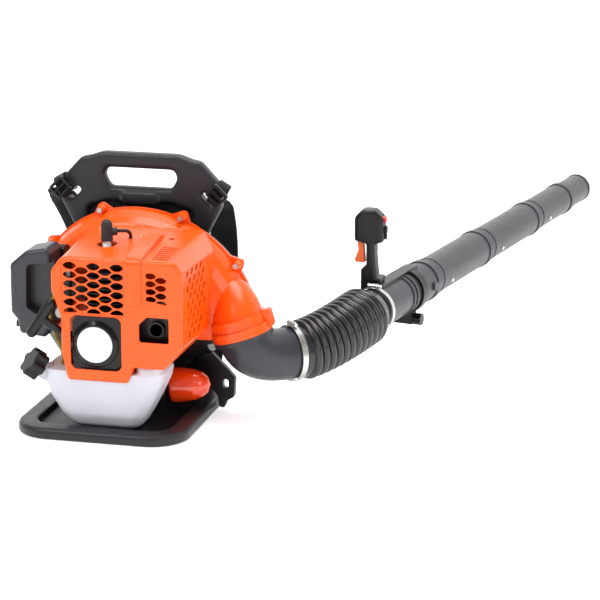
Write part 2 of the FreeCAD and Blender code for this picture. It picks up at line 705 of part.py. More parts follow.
def cover_solid(inset):
    """The engine cover's outer body, drawn in by inset on every side."""
    middle = Vec(38, 0, 215)

    def drawn(outline):
        return [(u - inset * sign(u - middle.x), v - inset * sign(v - middle.z), radius)
                for u, v, radius in outline]

    front = rounded_wire(drawn(COVER_OUTLINE), lambda u, v: Vec(u, COVER_FRONT + inset, v))
    back = rounded_wire(drawn(COVER_BACK_OUTLINE), lambda u, v: Vec(u, COVER_BACK, v))
    return Part.makeLoft([front, back], True, True)


def sign(value):
    return 1 if value > 0 else -1


def lens(x, z, width, height):
    """A pointed oval hole through the cover's front."""
    half = width / 2
    top = Part.Arc(Vec(x - half, -170, z), Vec(x, -170, z + height / 2), Vec(x + half, -170, z)).toShape()
    low = Part.Arc(Vec(x + half, -170, z), Vec(x, -170, z - height / 2), Vec(x - half, -170, z)).toShape()
    return Part.Face(Part.Wire([top, low])).extrude(Vec(0, 60, 0))


def grille(columns, rows, start, pitch, size, limits):
    """Rows of pointed holes, every other column shifted by half a row, kept inside limits."""
    frame = slab_xz(limits, (-170, -110))
    holes = []
    for column in range(columns):
        for row in range(rows):
            x = start[0] + pitch[0] * column
            z = start[1] - pitch[1] * (row + 0.5 * (column % 2))
            holes.append(lens(x, z, size[0], size[1]).common(frame))
    return group(hole for hole in holes if hole.Volume > 10)


def cover_slots():
    """Slanted louvre slots through the cover's right side, in a panel that narrows downwards."""
    slots = []
    for row in range(9):
        for column in range(4 - (row > 5)):
            y = -118 + 25 * column + 12 * (row % 2) + 2 * row
            z = 292 - 13.5 * row
            corners = [(y - 7, z - 5, 1.5), (y + 4, z - 5, 1.5), (y + 9, z + 5, 1.5), (y - 2, z + 5, 1.5)]
            slots.append(slab_yz(corners, (130, 175)))
    return group(slots)


def engine_cover():
    body = cover_solid(0)
    body = soften(body, 6.0, lambda box: box.YMax < COVER_FRONT + 0.1 and box.ZMin > 110)
    ridge = slab_yz([(COVER_FRONT - 3, 240, 4), (COVER_FRONT - 3, 322, 14), (-40, 336, 20),
                     (0, 330, 2), (0, 240, 2)], (54, 84))
    ridge = soften(ridge, 3.0, lambda box: box.YMax < COVER_FRONT)
    body = join(body, ridge).cut(cover_solid(WALL))
    body = body.cut(dome(0))
    body = body.cut(block((-100, -56), (-118, 100), (100, 306)))
    body = body.cut(block((-80, 62), (COVER_FRONT + WALL, 100), (90, TANK_TOP + 3)))
    body = body.cut(block((-80, -50), (-142, -112), (150, 196)))
    body = body.cut(ignition_lead(3.5))
    body = body.cut(block((-300, 300), (30, 100), (0, 500)))
    recess = slab_xz(rectangle((-57, 53), (219, 314), 4), (COVER_FRONT - 5, COVER_FRONT + 1.2))
    body = body.cut(recess)
    field = rectangle((-54, 51), (222, 311), 1)
    body = body.cut(grille(5, 6, (-42, 303), (20.6, 15.8), (24.5, 12.8), field))
    body = body.cut(grille(2, 5, (99, 293), (18, 13.4), (21, 11), [(91, 250, 1), (130, 244, 1),
                                                                (130, 302, 1), (91, 302, 1)]))
    body = body.cut(slab_xz([(78, 178, 4), (130, 178, 4), (130, 222, 4), (92, 222, 4), (78, 208, 4)],
                            (-170, -100)))
    body = body.cut(slab_xz(rectangle((-43, 47), (124, 218), 12), (-170, -100)))
    body = body.cut(rod((0, CYLINDER_Y, 300), (0, CYLINDER_Y, 400), 17))
    body = body.cut(cover_slots())
    body = body.cut(top_openings())
    return biggest(body)


def top_openings():
    """Seven cooling slots and a screw hole through the cover's sloping top."""
    cuts = [rod((101, -23, 290), (101, -29, 350), 5.0)]
    for index in range(7):
        y = -136 + 10 * index
        cuts.append(slab_xy(rectangle((98, 127), (y, y + 4.8), 2), (290, 360)))
    return group(cuts)


def intake_manifold():
    y = CYLINDER_Y
    return ring((-62, y, 242), (-43, y, 242), 14, 8)


def carburetor():
    y = CYLINDER_Y
    body = slab_xz(rectangle((-92, -62), (226, 258), 4), (y - 17, y + 17))
    body = soften(body, 2.0, lambda box: box.YMax < y - 16.9)
    bowl = rod((-77, y, 218), (-77, y, 226), 11)
    body = join(body, bowl).cut(rod((-100, y, 242), (-50, y, 242), 8))
    body = body.cut(rod((-77, y - 30, 250), (-77, y + 30, 250), 2.0 + RUNNING_GAP))
    body = body.cut(rod((-86, y - 30, 234), (-86, y - 10, 234), 3.2))
    return group([body, intake_manifold()])


def throttle_arm():
    """The throttle shaft through the carburettor with the cable lever on its end."""
    y = CYLINDER_Y
    shaft = rod((-77, y - 16, 250), (-77, y + 17.4, 250), 2.0)
    lever = slab_xz([(-81, 246, 3), (-73, 246, 3), (-73, 272, 3), (-81, 272, 3)], (y + 17.4, y + 20))
    return join(shaft, lever)


def choke_lever():
    """Lever on the filter cover's outer side; it turns the choke flap's shaft."""
    pivot = rod((-177, -58, 240), (-165, -58, 240), 4)
    arm = slab_yz([(-62, 236, 3), (-54, 236, 3), (-54, 266, 3), (-62, 266, 3)], (-178, -175))
    return join(pivot, arm)


def primer_bulb():
    """Soft fuel primer dome in its seat under the carburettor."""
    return turned([(0, 0), (11, 0), (11, 3), (9.4, 9), (5, 12), (0, 12.6)], (-77, -89.6, 206), (0, -1, 0))


def air_filter_case():
    """The inner half of the filter box, fixed to the carburettor's mouth."""
    outer = slab_yz([(-30, 168, 6), (9, 168, 14), (9, 304, 24), (-30, 304, 6)], (-140, -92))
    outer = outer.cut(slab_yz([(-31, 172, 4), (5, 172, 10), (5, 300, 20), (-31, 300, 4)], (-136, -96)))
    back = slab_yz(rectangle((-88, -30), (214, 270), 8), (-96, -92))
    stub = ring((-96, CYLINDER_Y, 242), (-92, CYLINDER_Y, 242), 14, 8)
    seat = block((-96, -63), (-94, -85), (192, 220)).cut(rod((-77, -95, 206), (-77, -86, 206), 11.4))
    body = join(outer, back, stub, seat)
    return body.cut(rod((-100, CYLINDER_Y, 242), (-90, CYLINDER_Y, 242), 8))


def air_filter_cover():
    """The grey outer cover, with the hollow in its front that the fuel lines pass."""
    profile = [(-171, 198, 8), (-159, 184, 5), (-156, 161, 8), (-110, 156, 8), (-97, 176, 8), (-97, 304, 8),
               (-104, 314, 8), (-142, 307, 16), (-171, 282, 12)]
    inner = [(-167, 200, 6), (-155, 186, 4), (-152, 165, 6), (-112, 161, 6), (-101, 178, 6), (-101, 302, 6),
             (-106, 309, 6), (-141, 302, 13), (-167, 280, 10)]
    cover = slab_xz(profile, (-88, -30))
    cover = soften(cover, 7.0, lambda box: box.YMax < -87.9)
    cover = cover.cut(slab_xz(inner, (-84, -29)))
    hollow = slab_xz([(-142, 208, 10), (-122, 196, 8), (-90, 200, 2), (-90, 290, 2), (-140, 284, 10)],
                     (-95, -66))
    wall = slab_xz([(-146, 204, 10), (-122, 192, 8), (-97, 196, 2), (-97, 294, 2), (-144, 288, 10)],
                   (-84, -62))
    wall = wall.common(slab_xz(inner, (-84, -29)))
    cover = join(cover, wall).cut(hollow)
    cover = cover.cut(rod((-180, -58, 240), (-160, -58, 240), 4 + RUNNING_GAP))
    cover = cover.cut(block((-101, -90), (CYLINDER_Y - 17, CYLINDER_Y + 50), (212, 272)))
    return cover.cut(rod((-167, -60, 172), (-147, -60, 172), 3 + RUNNING_GAP))


def air_filter_element():
    foam = block((-134, -100), (-26, 2), (184, 284))
    slots = [block((-134, -112), (-22 + 8 * i, -18 + 8 * i), (190, 278)) for i in range(3)]
    return foam.cut(group(slots))


def filter_knob():
    stem = rod((-167, -60, 172), (-151, -60, 172), 3)
    head = slab_yz([(-60 + 8 * math.cos(math.radians(72 * i)), 172 + 8 * math.sin(math.radians(72 * i)), 2.5)
                    for i in range(5)], (-169, -159.5))
    return join(stem, head)


def recoil_housing():
    body = slab_xz(rectangle((-41, 45), (126, 216), 14), (-142, -112))
    drum = turned([(0, 0), (43, 0), (43, 26), (40, 33), (34, 36), (0, 36)], (0, -111, 168), (0, -1, 0))
    drum = drum.common(block((-43, 43), (-160, -100), (120, 220)))
    exit_arm = taper((-30, -129, 168), tuple(ROPE_EXIT + PULL_DIRECTION * 6), 11, 8)
    body = join(body, drum, exit_arm)
    body = soften(body, 4.0, lambda box: box.YMax < -141.9 and box.XMax > 44)
    body = body.cut(rod((0, -143, 168), (0, -110, 168), 36))
    cap = rod((0, -147, 168), (0, -143, 168), 34)
    post = rod((0, -143, 168), (0, -112, 168), 6)
    body = join(body, cap, post)
    inner = tuple(Vec(-20, -129, 167))
    body = body.cut(rod(inner, tuple(ROPE_EXIT), 3.0))
    return body.cut(rod(tuple(ROPE_EXIT), tuple(ROPE_EXIT + PULL_DIRECTION * 12), 3.0))


def recoil_label():
    return rod((0, -147.8, 168), (0, -147, 168), 31)


def starter_pulley():
    profile = [(6 + RUNNING_GAP, 0), (32, 0), (32, 2.5), (27, 2.5), (27, 9.5), (32, 9.5), (32, 12),
               (6 + RUNNING_GAP, 12)]
    return turned(profile, (0, -123, 168), (0, -1, 0))


GRIP_CENTRE = ROPE_EXIT + PULL_DIRECTION * 56.0
GRIP_AXIS = Vec(0.555, 0.0, 0.832).normalize()


def starter_grip():
    bar = GRIP_AXIS * 31
    low = tuple(GRIP_CENTRE - bar)
    high = tuple(GRIP_CENTRE + bar)
    core = join(rod(low, high, 9), Part.makeSphere(9, Vec(*low)), Part.makeSphere(9, Vec(*high)))
    stem = taper(tuple(GRIP_CENTRE), tuple(ROPE_EXIT + PULL_DIRECTION * 11), 9, 6)
    return join(core, stem).cut(rod(tuple(GRIP_CENTRE), tuple(ROPE_EXIT), 2.0))


def starter_rope():
    return rod(tuple(ROPE_EXIT + PULL_DIRECTION * 1), tuple(GRIP_CENTRE), 1.9)


# ---- fuel --------------------------------------------------------------------------------
TANK_LEVELS = ((12, -50, 58, -112, -56, 20), (20, -60, 68, -124, -54, 22), (40, -73, 80, -134, -52, 24),
               (69, -89, 95, -140, -50, 26), (100, -98, 109, -143, -48, 26), (118, -99, 112, -143, -46, 26))


def tank_solid(inset):
    """The blow-moulded tank body, through rounded outlines at six heights."""
    wires = []
    for index, (height, left, right, front, back, radius) in enumerate(TANK_LEVELS):
        rise = height + (inset if index == 0 else 0) - (inset if height == TANK_TOP else 0)
        corners = [(left + inset, front + inset, radius - inset), (right - inset, front + inset, radius - inset),
                   (right - inset, back - inset, 14 - inset), (left + inset, back - inset, 14 - inset)]
        wires.append(rounded_wire(corners, lambda u, v, z=rise: Vec(u, v, z)))
    return Part.makeLoft(wires, True, True)


NECK_AXIS = (-0.62, -0.50, 0.60)
NECK_BASE = (-92.8, -113.0, 102.5)


def along_neck(distance):
    return tuple(Vec(*NECK_BASE) + Vec(*NECK_AXIS).normalize() * distance)


def fuel_tank():
    shell = tank_solid(0)
    hump = slab_xy(rectangle((66, 108), (-139, -50), 16), (TANK_TOP - 2, 130))
    neck = rod(along_neck(-8), along_neck(39), 16)
    shell = join(shell, hump, neck)
    shell = shell.cut(tank_solid(WALL))
    shell = shell.cut(slab_xy(rectangle((69, 105), (-136, -53), 13), (TANK_TOP - 5, 127)))
    shell = shell.cut(rod(along_neck(-14), along_neck(42), 13))
    for x in FUEL_LINE_X:
        shell = shell.cut(rod((x, -104, TANK_TOP - 6), (x, -104, TANK_TOP + 1), 3.0))
    return biggest(shell)


def fuel_cap():
    lobes = []
    for index in range(6):
        angle = math.radians(60 * index)
        lobes.append(rod((18 * math.cos(angle), 18 * math.sin(angle), 0),
                         (18 * math.cos(angle), 18 * math.sin(angle), 24), 8))
    knob = join(rod((0, 0, 0), (0, 0, 24), 20.5), *lobes)
    knob = soften(knob, 3.0, lambda box: box.ZMin > 23.9)
    knob = knob.cut(rod((0, 0, -1), (0, 0, 18), 16 + RUNNING_GAP * 4))
    return stood(knob, along_neck(22.5), NECK_AXIS)


FUEL_LINE_X = (-72.0, -60.5)


def fuel_lines():
    supply = swept([(FUEL_LINE_X[0], -104, TANK_TOP - 5), (FUEL_LINE_X[0], -103.9, 142),
                    (-92, -103, 180), (-93, -108, 222), (-86, -104, 234), (-86, CYLINDER_Y - 13, 234)], 3.0)
    back = swept([(FUEL_LINE_X[1], -104, TANK_TOP - 5), (FUEL_LINE_X[1], -104.1, 140),
                  (-70, -98, 166), (-76, -87.5, 190)], 3.0)
    return group([supply, back])


def vibration_dampers():
    """Rubber mounts between the fan housing and the frame."""
    mounts = []
    for x, z in DAMPER_PLACES:
        mounts.append(rod((x, REAR_WALL, z), (x, REAR_WALL + DAMPER_LENGTH, z), 12))
    return group(mounts)


def damper_cup():
    """The glossy cup over the sprung mount at the lower right."""
    profile = [(0, 0), (30, 0), (31, 4), (30, 22), (27, 40), (22, 54), (14, 64), (0, 69),
               (0, 66), (12, 61), (20, 52), (25, 39), (27, 22), (27, 3), (0, 3)]
    return turned(profile, (88, 4, 60), (0.97, 0.1, 0.06))


# ---- outlet, hose and blow tube ------------------------------------------------------------
ELBOW_DIRECTION = Vec(math.cos(math.radians(ELBOW_HEADING)), math.sin(math.radians(ELBOW_HEADING)), 0)
TUBE_DIRECTION = Vec(math.cos(math.radians(TUBE_HEADING)), math.sin(math.radians(TUBE_HEADING)), 0)


def along_tube(distance):
    return tuple(Vec(*TUBE_START) + TUBE_DIRECTION * distance)


def elbow_run(radius):
    """A smooth bent rod from the outlet's mouth to the hose's collar."""
    start = Vec(*foot_place(0))
    end = Vec(*ELBOW_END)
    lead = foot_up() * -ELBOW_PULL
    trail = ELBOW_DIRECTION * ELBOW_PULL
    wires = []
    for step in range(8):
        t = step / 7
        point = (start * (2 * t ** 3 - 3 * t ** 2 + 1) + lead * (t ** 3 - 2 * t ** 2 + t)
                 + end * (3 * t ** 2 - 2 * t ** 3) + trail * (t ** 3 - t ** 2))
        way = (start * (6 * t ** 2 - 6 * t) + lead * (3 * t ** 2 - 4 * t + 1)
               + end * (6 * t - 6 * t ** 2) + trail * (3 * t ** 2 - 2 * t))
        wires.append(Part.Wire(Part.makeCircle(radius, point, way)))
    return Part.makeLoft(wires, True, False)


def elbow():
    flange = rod(foot_place(-8), foot_place(0), FOOT_RADIUS)
    body = join(elbow_run(ELBOW_OUTER), flange)
    return body.cut(elbow_run(DUCT_RADIUS - 1))


def hose_point(t):
    """A point on the hose's centre line, a smooth cubic between its two collars."""
    start = Vec(*HOSE_START)
    end = Vec(*TUBE_START)
    pull = 215.0
    lead = ELBOW_DIRECTION * pull
    trail = TUBE_DIRECTION * pull
    return (start * (2 * t ** 3 - 3 * t ** 2 + 1) + lead * (t ** 3 - 2 * t ** 2 + t)
            + end * (3 * t ** 2 - 2 * t ** 3) + trail * (t ** 3 - t ** 2))


RIB_COUNT = 12
RIB_START = 0.13
RIB_END = 0.86
RIB_OUTER = 54.5
RIB_VALLEY = 48.5
RIB_HALF = 4.2
HOSE_BORE = 44.0
RIB_PITCH = (RIB_END - RIB_START) / RIB_COUNT


def hose_direction(t):
    return (hose_point(t + 0.01) - hose_point(t - 0.01)).normalize()


def hose_run(first, last, radius_first, radius_last):
    """A smooth bent rod along the hose's centre line, lofted through five circles."""
    wires = []
    for step in range(5):
        share = step / 4
        t = first + (last - first) * share
        radius = radius_first + (radius_last - radius_first) * share
        wires.append(Part.Wire(Part.makeCircle(radius, hose_point(t), hose_direction(t))))
    return Part.makeLoft(wires, True, False)


def hose_ribs(first, last):
    """The raised ribs whose middle lies between two stations, as short rings."""
    pitch = (RIB_END - RIB_START) / RIB_COUNT
    ribs = []
    for index in range(RIB_COUNT):
        t = RIB_START + pitch * (index + 0.5)
        if first < t < last:
            middle = hose_point(t)
            half = hose_direction(t) * RIB_HALF
            ribs.append(ring(tuple(middle - half), tuple(middle + half), RIB_OUTER, RIB_VALLEY - 2.2))
    return ribs


HOSE_CUTS = (0.0, RIB_START + 4 * RIB_PITCH, RIB_START + 8 * RIB_PITCH, 1.0)


def bellows_rear():
    mouth = Vec(*HOSE_START)
    outer = hose_run(0.12, HOSE_CUTS[1], RIB_VALLEY, RIB_VALLEY)
    inner = hose_run(0.02, HOSE_CUTS[1] + 0.02, HOSE_BORE, HOSE_BORE)
    collar = ring(tuple(mouth), tuple(mouth + ELBOW_DIRECTION * 30), 49.1, ELBOW_OUTER + 0.6)
    return join(outer.cut(inner), collar, *hose_ribs(*HOSE_CUTS[0:2]))


def bellows_middle():
    outer = hose_run(HOSE_CUTS[1], HOSE_CUTS[2], RIB_VALLEY, RIB_VALLEY)
    inner = hose_run(HOSE_CUTS[1] - 0.02, HOSE_CUTS[2] + 0.02, HOSE_BORE, HOSE_BORE)
    return join(outer.cut(inner), *hose_ribs(*HOSE_CUTS[1:3]))


def bellows_front():
    outer = hose_run(HOSE_CUTS[2], RIB_END, RIB_VALLEY, RIB_VALLEY)
    inner = hose_run(HOSE_CUTS[2] - 0.02, RIB_END, HOSE_BORE, HOSE_BORE)
    neck = hose_run(RIB_END, 0.95, RIB_VALLEY, 41.5)
    throat = hose_run(RIB_END, 0.95, HOSE_BORE, TUBE_RADIUS)
    collar = ring(along_tube(-18), along_tube(20), 41.0, TUBE_RADIUS)
    body = join(outer, neck).cut(inner).cut(throat)
    return join(body, collar, *hose_ribs(*HOSE_CUTS[2:4]))


def clamp_elbow():
    centre = tuple(Vec(*HOSE_START) + ELBOW_DIRECTION * 10)
    return worm_clamp(centre, tuple(ELBOW_DIRECTION), 49.2, 11)


def clamp_tube():
    return worm_clamp(along_tube(8), tuple(TUBE_DIRECTION), 41.0, 11)


def section_radius(index):
    return TUBE_RADIUS - RADIUS_STEP * index


def tube_section(index):
    """One blow tube section: a spigot, the plain barrel and a raised joint ring."""
    start = SECTION_ENDS[index]
    end = SECTION_ENDS[index + 1]
    outer = section_radius(index)
    body = rod(along_tube(start), along_tube(end), outer)
    pieces = [rod(along_tube(end - 16), along_tube(end), outer + 1.8),
              rod(along_tube(start + 22), along_tube(start + 25), outer + 1.0)]
    if index > 0:
        pieces.append(rod(along_tube(start - 26), along_tube(start), section_radius(index - 1) - TUBE_WALL))
    body = join(body, *pieces)
    bore = rod(along_tube(start - 30), along_tube(end + 5), outer - TUBE_WALL)
    return body.cut(bore)


def swivel_tube():
    end = SECTION_ENDS[1]
    pieces = [rod(along_tube(0), along_tube(end), TUBE_RADIUS),
              rod(along_tube(112), along_tube(118), TUBE_RADIUS + 2),
              rod(along_tube(128), along_tube(134), TUBE_RADIUS + 2),
              rod(along_tube(end - 18), along_tube(end), TUBE_RADIUS + 2)]
    body = join(*pieces)
    latch = Vec(*along_tube(214))
    side = TUBE_DIRECTION.cross(Vec(0, 0, 1))
    boss = rod(tuple(latch + side * 34), tuple(latch + side * 42), 9)
    body = join(body, boss)
    return body.cut(rod(along_tube(-5), along_tube(end + 5), TUBE_RADIUS - TUBE_WALL))


def nozzle():
    start = SECTION_ENDS[4]
    end = SECTION_ENDS[5]
    outer = section_radius(4)
    spigot = rod(along_tube(start - 26), along_tube(start), section_radius(3) - TUBE_WALL)
    barrel = taper(along_tube(start), along_tube(end), outer, outer - 1.5)
    lip = rod(along_tube(end - 4), along_tube(end), outer)
    body = join(spigot, barrel, lip)
    body = body.cut(rod(along_tube(start - 30), along_tube(start), outer - TUBE_WALL))
    bore = outer - TUBE_WALL
    return body.cut(taper(along_tube(start - 1), along_tube(end + 1), bore, bore - 1.5))


def bayonet_pins():
    """The locking pins that stand out of the tube sections beyond each joint ring."""
    side = TUBE_DIRECTION.cross(Vec(0, 0, 1))
    lean = (side * math.cos(math.radians(16)) - Vec(0, 0, 1) * math.sin(math.radians(16))).normalize()
    pins = []
    for index in (1, 2, 3):
        centre = Vec(*along_tube(SECTION_ENDS[index] + 62))
        outer = section_radius(index)
        pins.append(rod(tuple(centre + lean * (outer + 0.05)), tuple(centre + lean * (outer + 3)), 3.4))
    return group(pins)


# ---- control handle ------------------------------------------------------------------------
BAND = (150.0, 172.0)


def handle_bracket():
    """The clamp band round the swivel tube, its top rail and its lower foot."""
    side = TUBE_DIRECTION.cross(Vec(0, 0, 1))
    band = rod(along_tube(BAND[0]), along_tube(BAND[1]), TUBE_RADIUS + 4.5)
    rail = handle_rail()
    foot = bar_on_tube(BAND[0], BAND[1], -61, -36, -2, 20)
    body = join(band, rail, foot)
    body = body.cut(rod(along_tube(0), along_tube(240), TUBE_RADIUS + RUNNING_GAP))
    for low in (112, 128):
        body = body.cut(rod(along_tube(low - 0.6), along_tube(low + 6.6), TUBE_RADIUS + 2.3))
    centre = knob_centre()
    return body.cut(rod(tuple(centre - side * 40), tuple(centre + side * 40), 3.05))


def bar_on_tube(first, last, low, high, middle, half):
    """A straight bar along the tube between two heights above its centre line."""
    side = TUBE_DIRECTION.cross(Vec(0, 0, 1))
    origin = Vec(*along_tube(first)) + side * (middle - half) + Vec(0, 0, low)
    corner = [origin, origin + side * 2 * half, origin + side * 2 * half + Vec(0, 0, high - low),
              origin + Vec(0, 0, high - low)]
    return Part.Face(Part.makePolygon(corner + corner[:1])).extrude(TUBE_DIRECTION * (last - first))


def handle_rail():
    return bar_on_tube(26, 190, 36, 43, 0, 12)


def knob_centre():
    return Vec(*along_tube((BAND[0] + BAND[1]) / 2)) - Vec(0, 0, 52)


def bracket_knob():
    side = TUBE_DIRECTION.cross(Vec(0, 0, 1))
    centre = knob_centre()
    stem = rod(tuple(centre - side * 20), tuple(centre + side * 20), 3.0)
    head = rod(tuple(centre + side * 18.2), tuple(centre + side * 34), 11)
    flutes = []
    up = Vec(0, 0, 1)
    for index in range(8):
        angle = math.radians(45 * index)
        spot = centre + TUBE_DIRECTION * 12.6 * math.cos(angle) + up * 12.6 * math.sin(angle)
        flutes.append(rod(tuple(spot + side * 17), tuple(spot + side * 36), 3.0))
    return join(stem, head.cut(group(flutes)))


def control_handle():
    x = GRIP_X
    y = GRIP_Y
    stalk = [(x - 16, 183, 2), (x + 15, 183, 2), (x + 11, 232, 10), (x + 11, 254, 3), (x + 26, 258, 5),
             (x + 26, 302, 14), (x + 10, 317, 12), (x - 14, 317, 12), (x - 28, 302, 14),
             (x - 28, 258, 5), (x - 6, 254, 3), (x - 6, 214, 3), (x - 16, 206, 6)]
    body = slab_xz(stalk, (y - 17, y + 17))
    body = soften(body, 6.0, lambda box: box.YMax < y - 16.9 or box.YMin > y + 16.9)
    foot = block((x - 16, x + 22), (y - 14, y + 26), (168, 190))
    body = join(body, foot).cut(rod(along_tube(0), along_tube(120), TUBE_RADIUS + 0.4)).cut(handle_rail())
    body = body.cut(block((x - 30, x + 5), (y - 6.4, y + 6.4), (212, 269)))
    body = body.cut(rod((x - 18, y - 12, 262), (x - 18, y + 12, 262), 2.0 + RUNNING_GAP))
    body = body.cut(rod((x + 11, y, 298), (x + 30, y, 298), 6.4))
    return body.cut(rod((x + 14, y, 279), (x + 30, y, 279), 4 + RUNNING_GAP))


def throttle_trigger():
    x = GRIP_X
    y = GRIP_Y
    blade = slab_xz([(x - 25, 266, 3), (x - 13, 266, 3), (x - 11, 240, 4), (x - 9, 217, 2),
                     (x - 26, 217, 2), (x - 29, 222, 3), (x - 22, 240, 8)], (y - 6, y + 6))
    blade = soften(blade, 1.8, lambda box: box.XMax < x - 20)
    return join(blade, rod((x - 18, y - 12, 262), (x - 18, y + 12, 262), 2.0))


def stop_switch():
    x = GRIP_X
    button = rod((x + 15, GRIP_Y, 298), (x + 29, GRIP_Y, 298), 6.0)
    return soften(button, 1.2, lambda box: box.XMin > x + 28.9)


def cruise_lever():
    """The throttle lock lever: a ringed hub with a short finger tab."""
    x = GRIP_X
    y = GRIP_Y
    hub = rod((x + 15, y, 279), (x + 31, y, 279), 4.0)
    disc = rod((x + 26.4, y, 279), (x + 30, y, 279), 8.0)
    tab = block((x + 26.6, x + 30), (y - 3, y + 3), (262, 274))
    return join(hub, disc, tab)


MODEL = {
    "base_plate": base_plate, "back_plate": back_plate, "side_bracket": side_bracket, "back_pad": back_pad,
    "shoulder_pad_left": lambda: shoulder_pad(-1), "shoulder_pad_right": lambda: shoulder_pad(1),
    "webbing": webbing, "strap_buckles": strap_buckles, "vibration_dampers": vibration_dampers,
    "damper_cup": damper_cup, "fan_housing_front": fan_housing_front,
    "fan_housing_rear": fan_housing_rear, "intake_guard": intake_guard,
    "screws": screws, "impeller": impeller, "crankcase": crankcase,
    "crankshaft": crankshaft, "flywheel": flywheel, "cylinder": cylinder, "piston": piston,
    "connecting_rod": connecting_rod, "spark_plug": spark_plug, "plug_boot": plug_boot,
    "ignition_coil": ignition_coil, "muffler": muffler, "engine_cover": engine_cover,
    "carburetor": carburetor, "throttle_arm": throttle_arm,
    "choke_lever": choke_lever, "primer_bulb": primer_bulb, "air_filter_case": air_filter_case,
    "air_filter_cover": air_filter_cover, "air_filter_element": air_filter_element,
    "filter_knob": filter_knob, "recoil_housing": recoil_housing, "recoil_label": recoil_label,
    "starter_pulley": starter_pulley, "starter_grip": starter_grip, "starter_rope": starter_rope,
    "fuel_tank": fuel_tank, "fuel_cap": fuel_cap, "fuel_lines": fuel_lines, "elbow": elbow,
    "clamp_elbow": clamp_elbow, "bellows_rear": bellows_rear, "bellows_middle": bellows_middle,
    "bellows_front": bellows_front, "clamp_tube": clamp_tube, "swivel_tube": swivel_tube,
    "blow_tube_1": lambda: tube_section(1), "blow_tube_2": lambda: tube_section(2),
    "blow_tube_3": lambda: tube_section(3), "nozzle": nozzle, "bayonet_pins": bayonet_pins,
    "handle_bracket": handle_bracket, "bracket_knob": bracket_knob,
    "control_handle": control_handle, "throttle_trigger": throttle_trigger,
    "stop_switch": stop_switch, "cruise_lever": cruise_lever,
}

os.makedirs("parts", exist_ok=True)
for name, make in MODEL.items():
    shape = make()
    shape.exportStep("parts/" + name + ".step")
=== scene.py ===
import json
import math

import bmesh
import bpy
from mathutils import Matrix, Vector


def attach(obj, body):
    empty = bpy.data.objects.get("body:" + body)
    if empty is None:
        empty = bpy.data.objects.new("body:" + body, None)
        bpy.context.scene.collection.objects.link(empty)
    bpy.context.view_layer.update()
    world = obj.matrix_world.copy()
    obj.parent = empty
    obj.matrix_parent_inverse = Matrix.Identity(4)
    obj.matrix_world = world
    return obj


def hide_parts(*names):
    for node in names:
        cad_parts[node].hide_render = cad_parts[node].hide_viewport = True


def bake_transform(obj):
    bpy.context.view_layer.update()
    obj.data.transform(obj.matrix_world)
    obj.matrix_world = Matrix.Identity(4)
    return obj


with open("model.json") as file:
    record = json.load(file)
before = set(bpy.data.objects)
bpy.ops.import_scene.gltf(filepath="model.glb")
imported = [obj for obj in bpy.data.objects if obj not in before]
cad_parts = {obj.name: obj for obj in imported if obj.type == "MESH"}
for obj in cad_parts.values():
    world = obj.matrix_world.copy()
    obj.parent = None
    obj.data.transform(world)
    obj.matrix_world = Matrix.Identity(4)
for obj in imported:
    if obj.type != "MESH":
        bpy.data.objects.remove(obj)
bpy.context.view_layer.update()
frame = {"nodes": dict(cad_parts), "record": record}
NODES = frame["nodes"]
SIDES = ((-1, "left"), (1, "right"))
ACROSS = (1, 0, 0)

# ---- colours (linear) ----------------------------------------------------------------------
ORANGE = (0.90, 0.092, 0.002)
RED_ORANGE = (0.78, 0.045, 0.002)
CONTROL_ORANGE = (0.88, 0.13, 0.015)
SWITCH_RED = (0.62, 0.012, 0.012)
CHARCOAL = (0.017, 0.016, 0.020)
GRAPHITE = (0.030, 0.030, 0.037)
BLACK = (0.004, 0.004, 0.005)
GLOSS_BLACK = (0.003, 0.003, 0.0035)
HOSE_BLACK = (0.012, 0.012, 0.014)
RUBBER_BLACK = (0.010, 0.010, 0.011)
STEEL = (0.60, 0.59, 0.57)
ZINC = (0.55, 0.55, 0.54)
CAST = (0.060, 0.060, 0.063)
BURNT_STEEL = (0.050, 0.046, 0.046)
CERAMIC = (0.82, 0.82, 0.82)
CLEAR = (0.62, 0.63, 0.58)
TUBING_YELLOW = (0.36, 0.27, 0.03)
MILK = (0.56, 0.56, 0.62)
LABEL = (0.70, 0.70, 0.76)
PIN_WHITE = (0.80, 0.80, 0.80)
PULLEY = (0.55, 0.55, 0.52)
CORD_BLACK = (0.03, 0.03, 0.03)
FOAM_GREY = (0.08, 0.08, 0.08)
PAD_BLACK = (0.009, 0.009, 0.011)
WEB_BLACK = (0.007, 0.007, 0.008)


# ---- material building ---------------------------------------------------------------------
NOISE_LOW = 0.3
NOISE_HIGH = 0.7


def fill(node, **values):
    """Sets inputs of a shader node; an underscore stands for a space in an input's name."""
    for key, value in values.items():
        node.inputs[key.replace("_", " ")].default_value = value


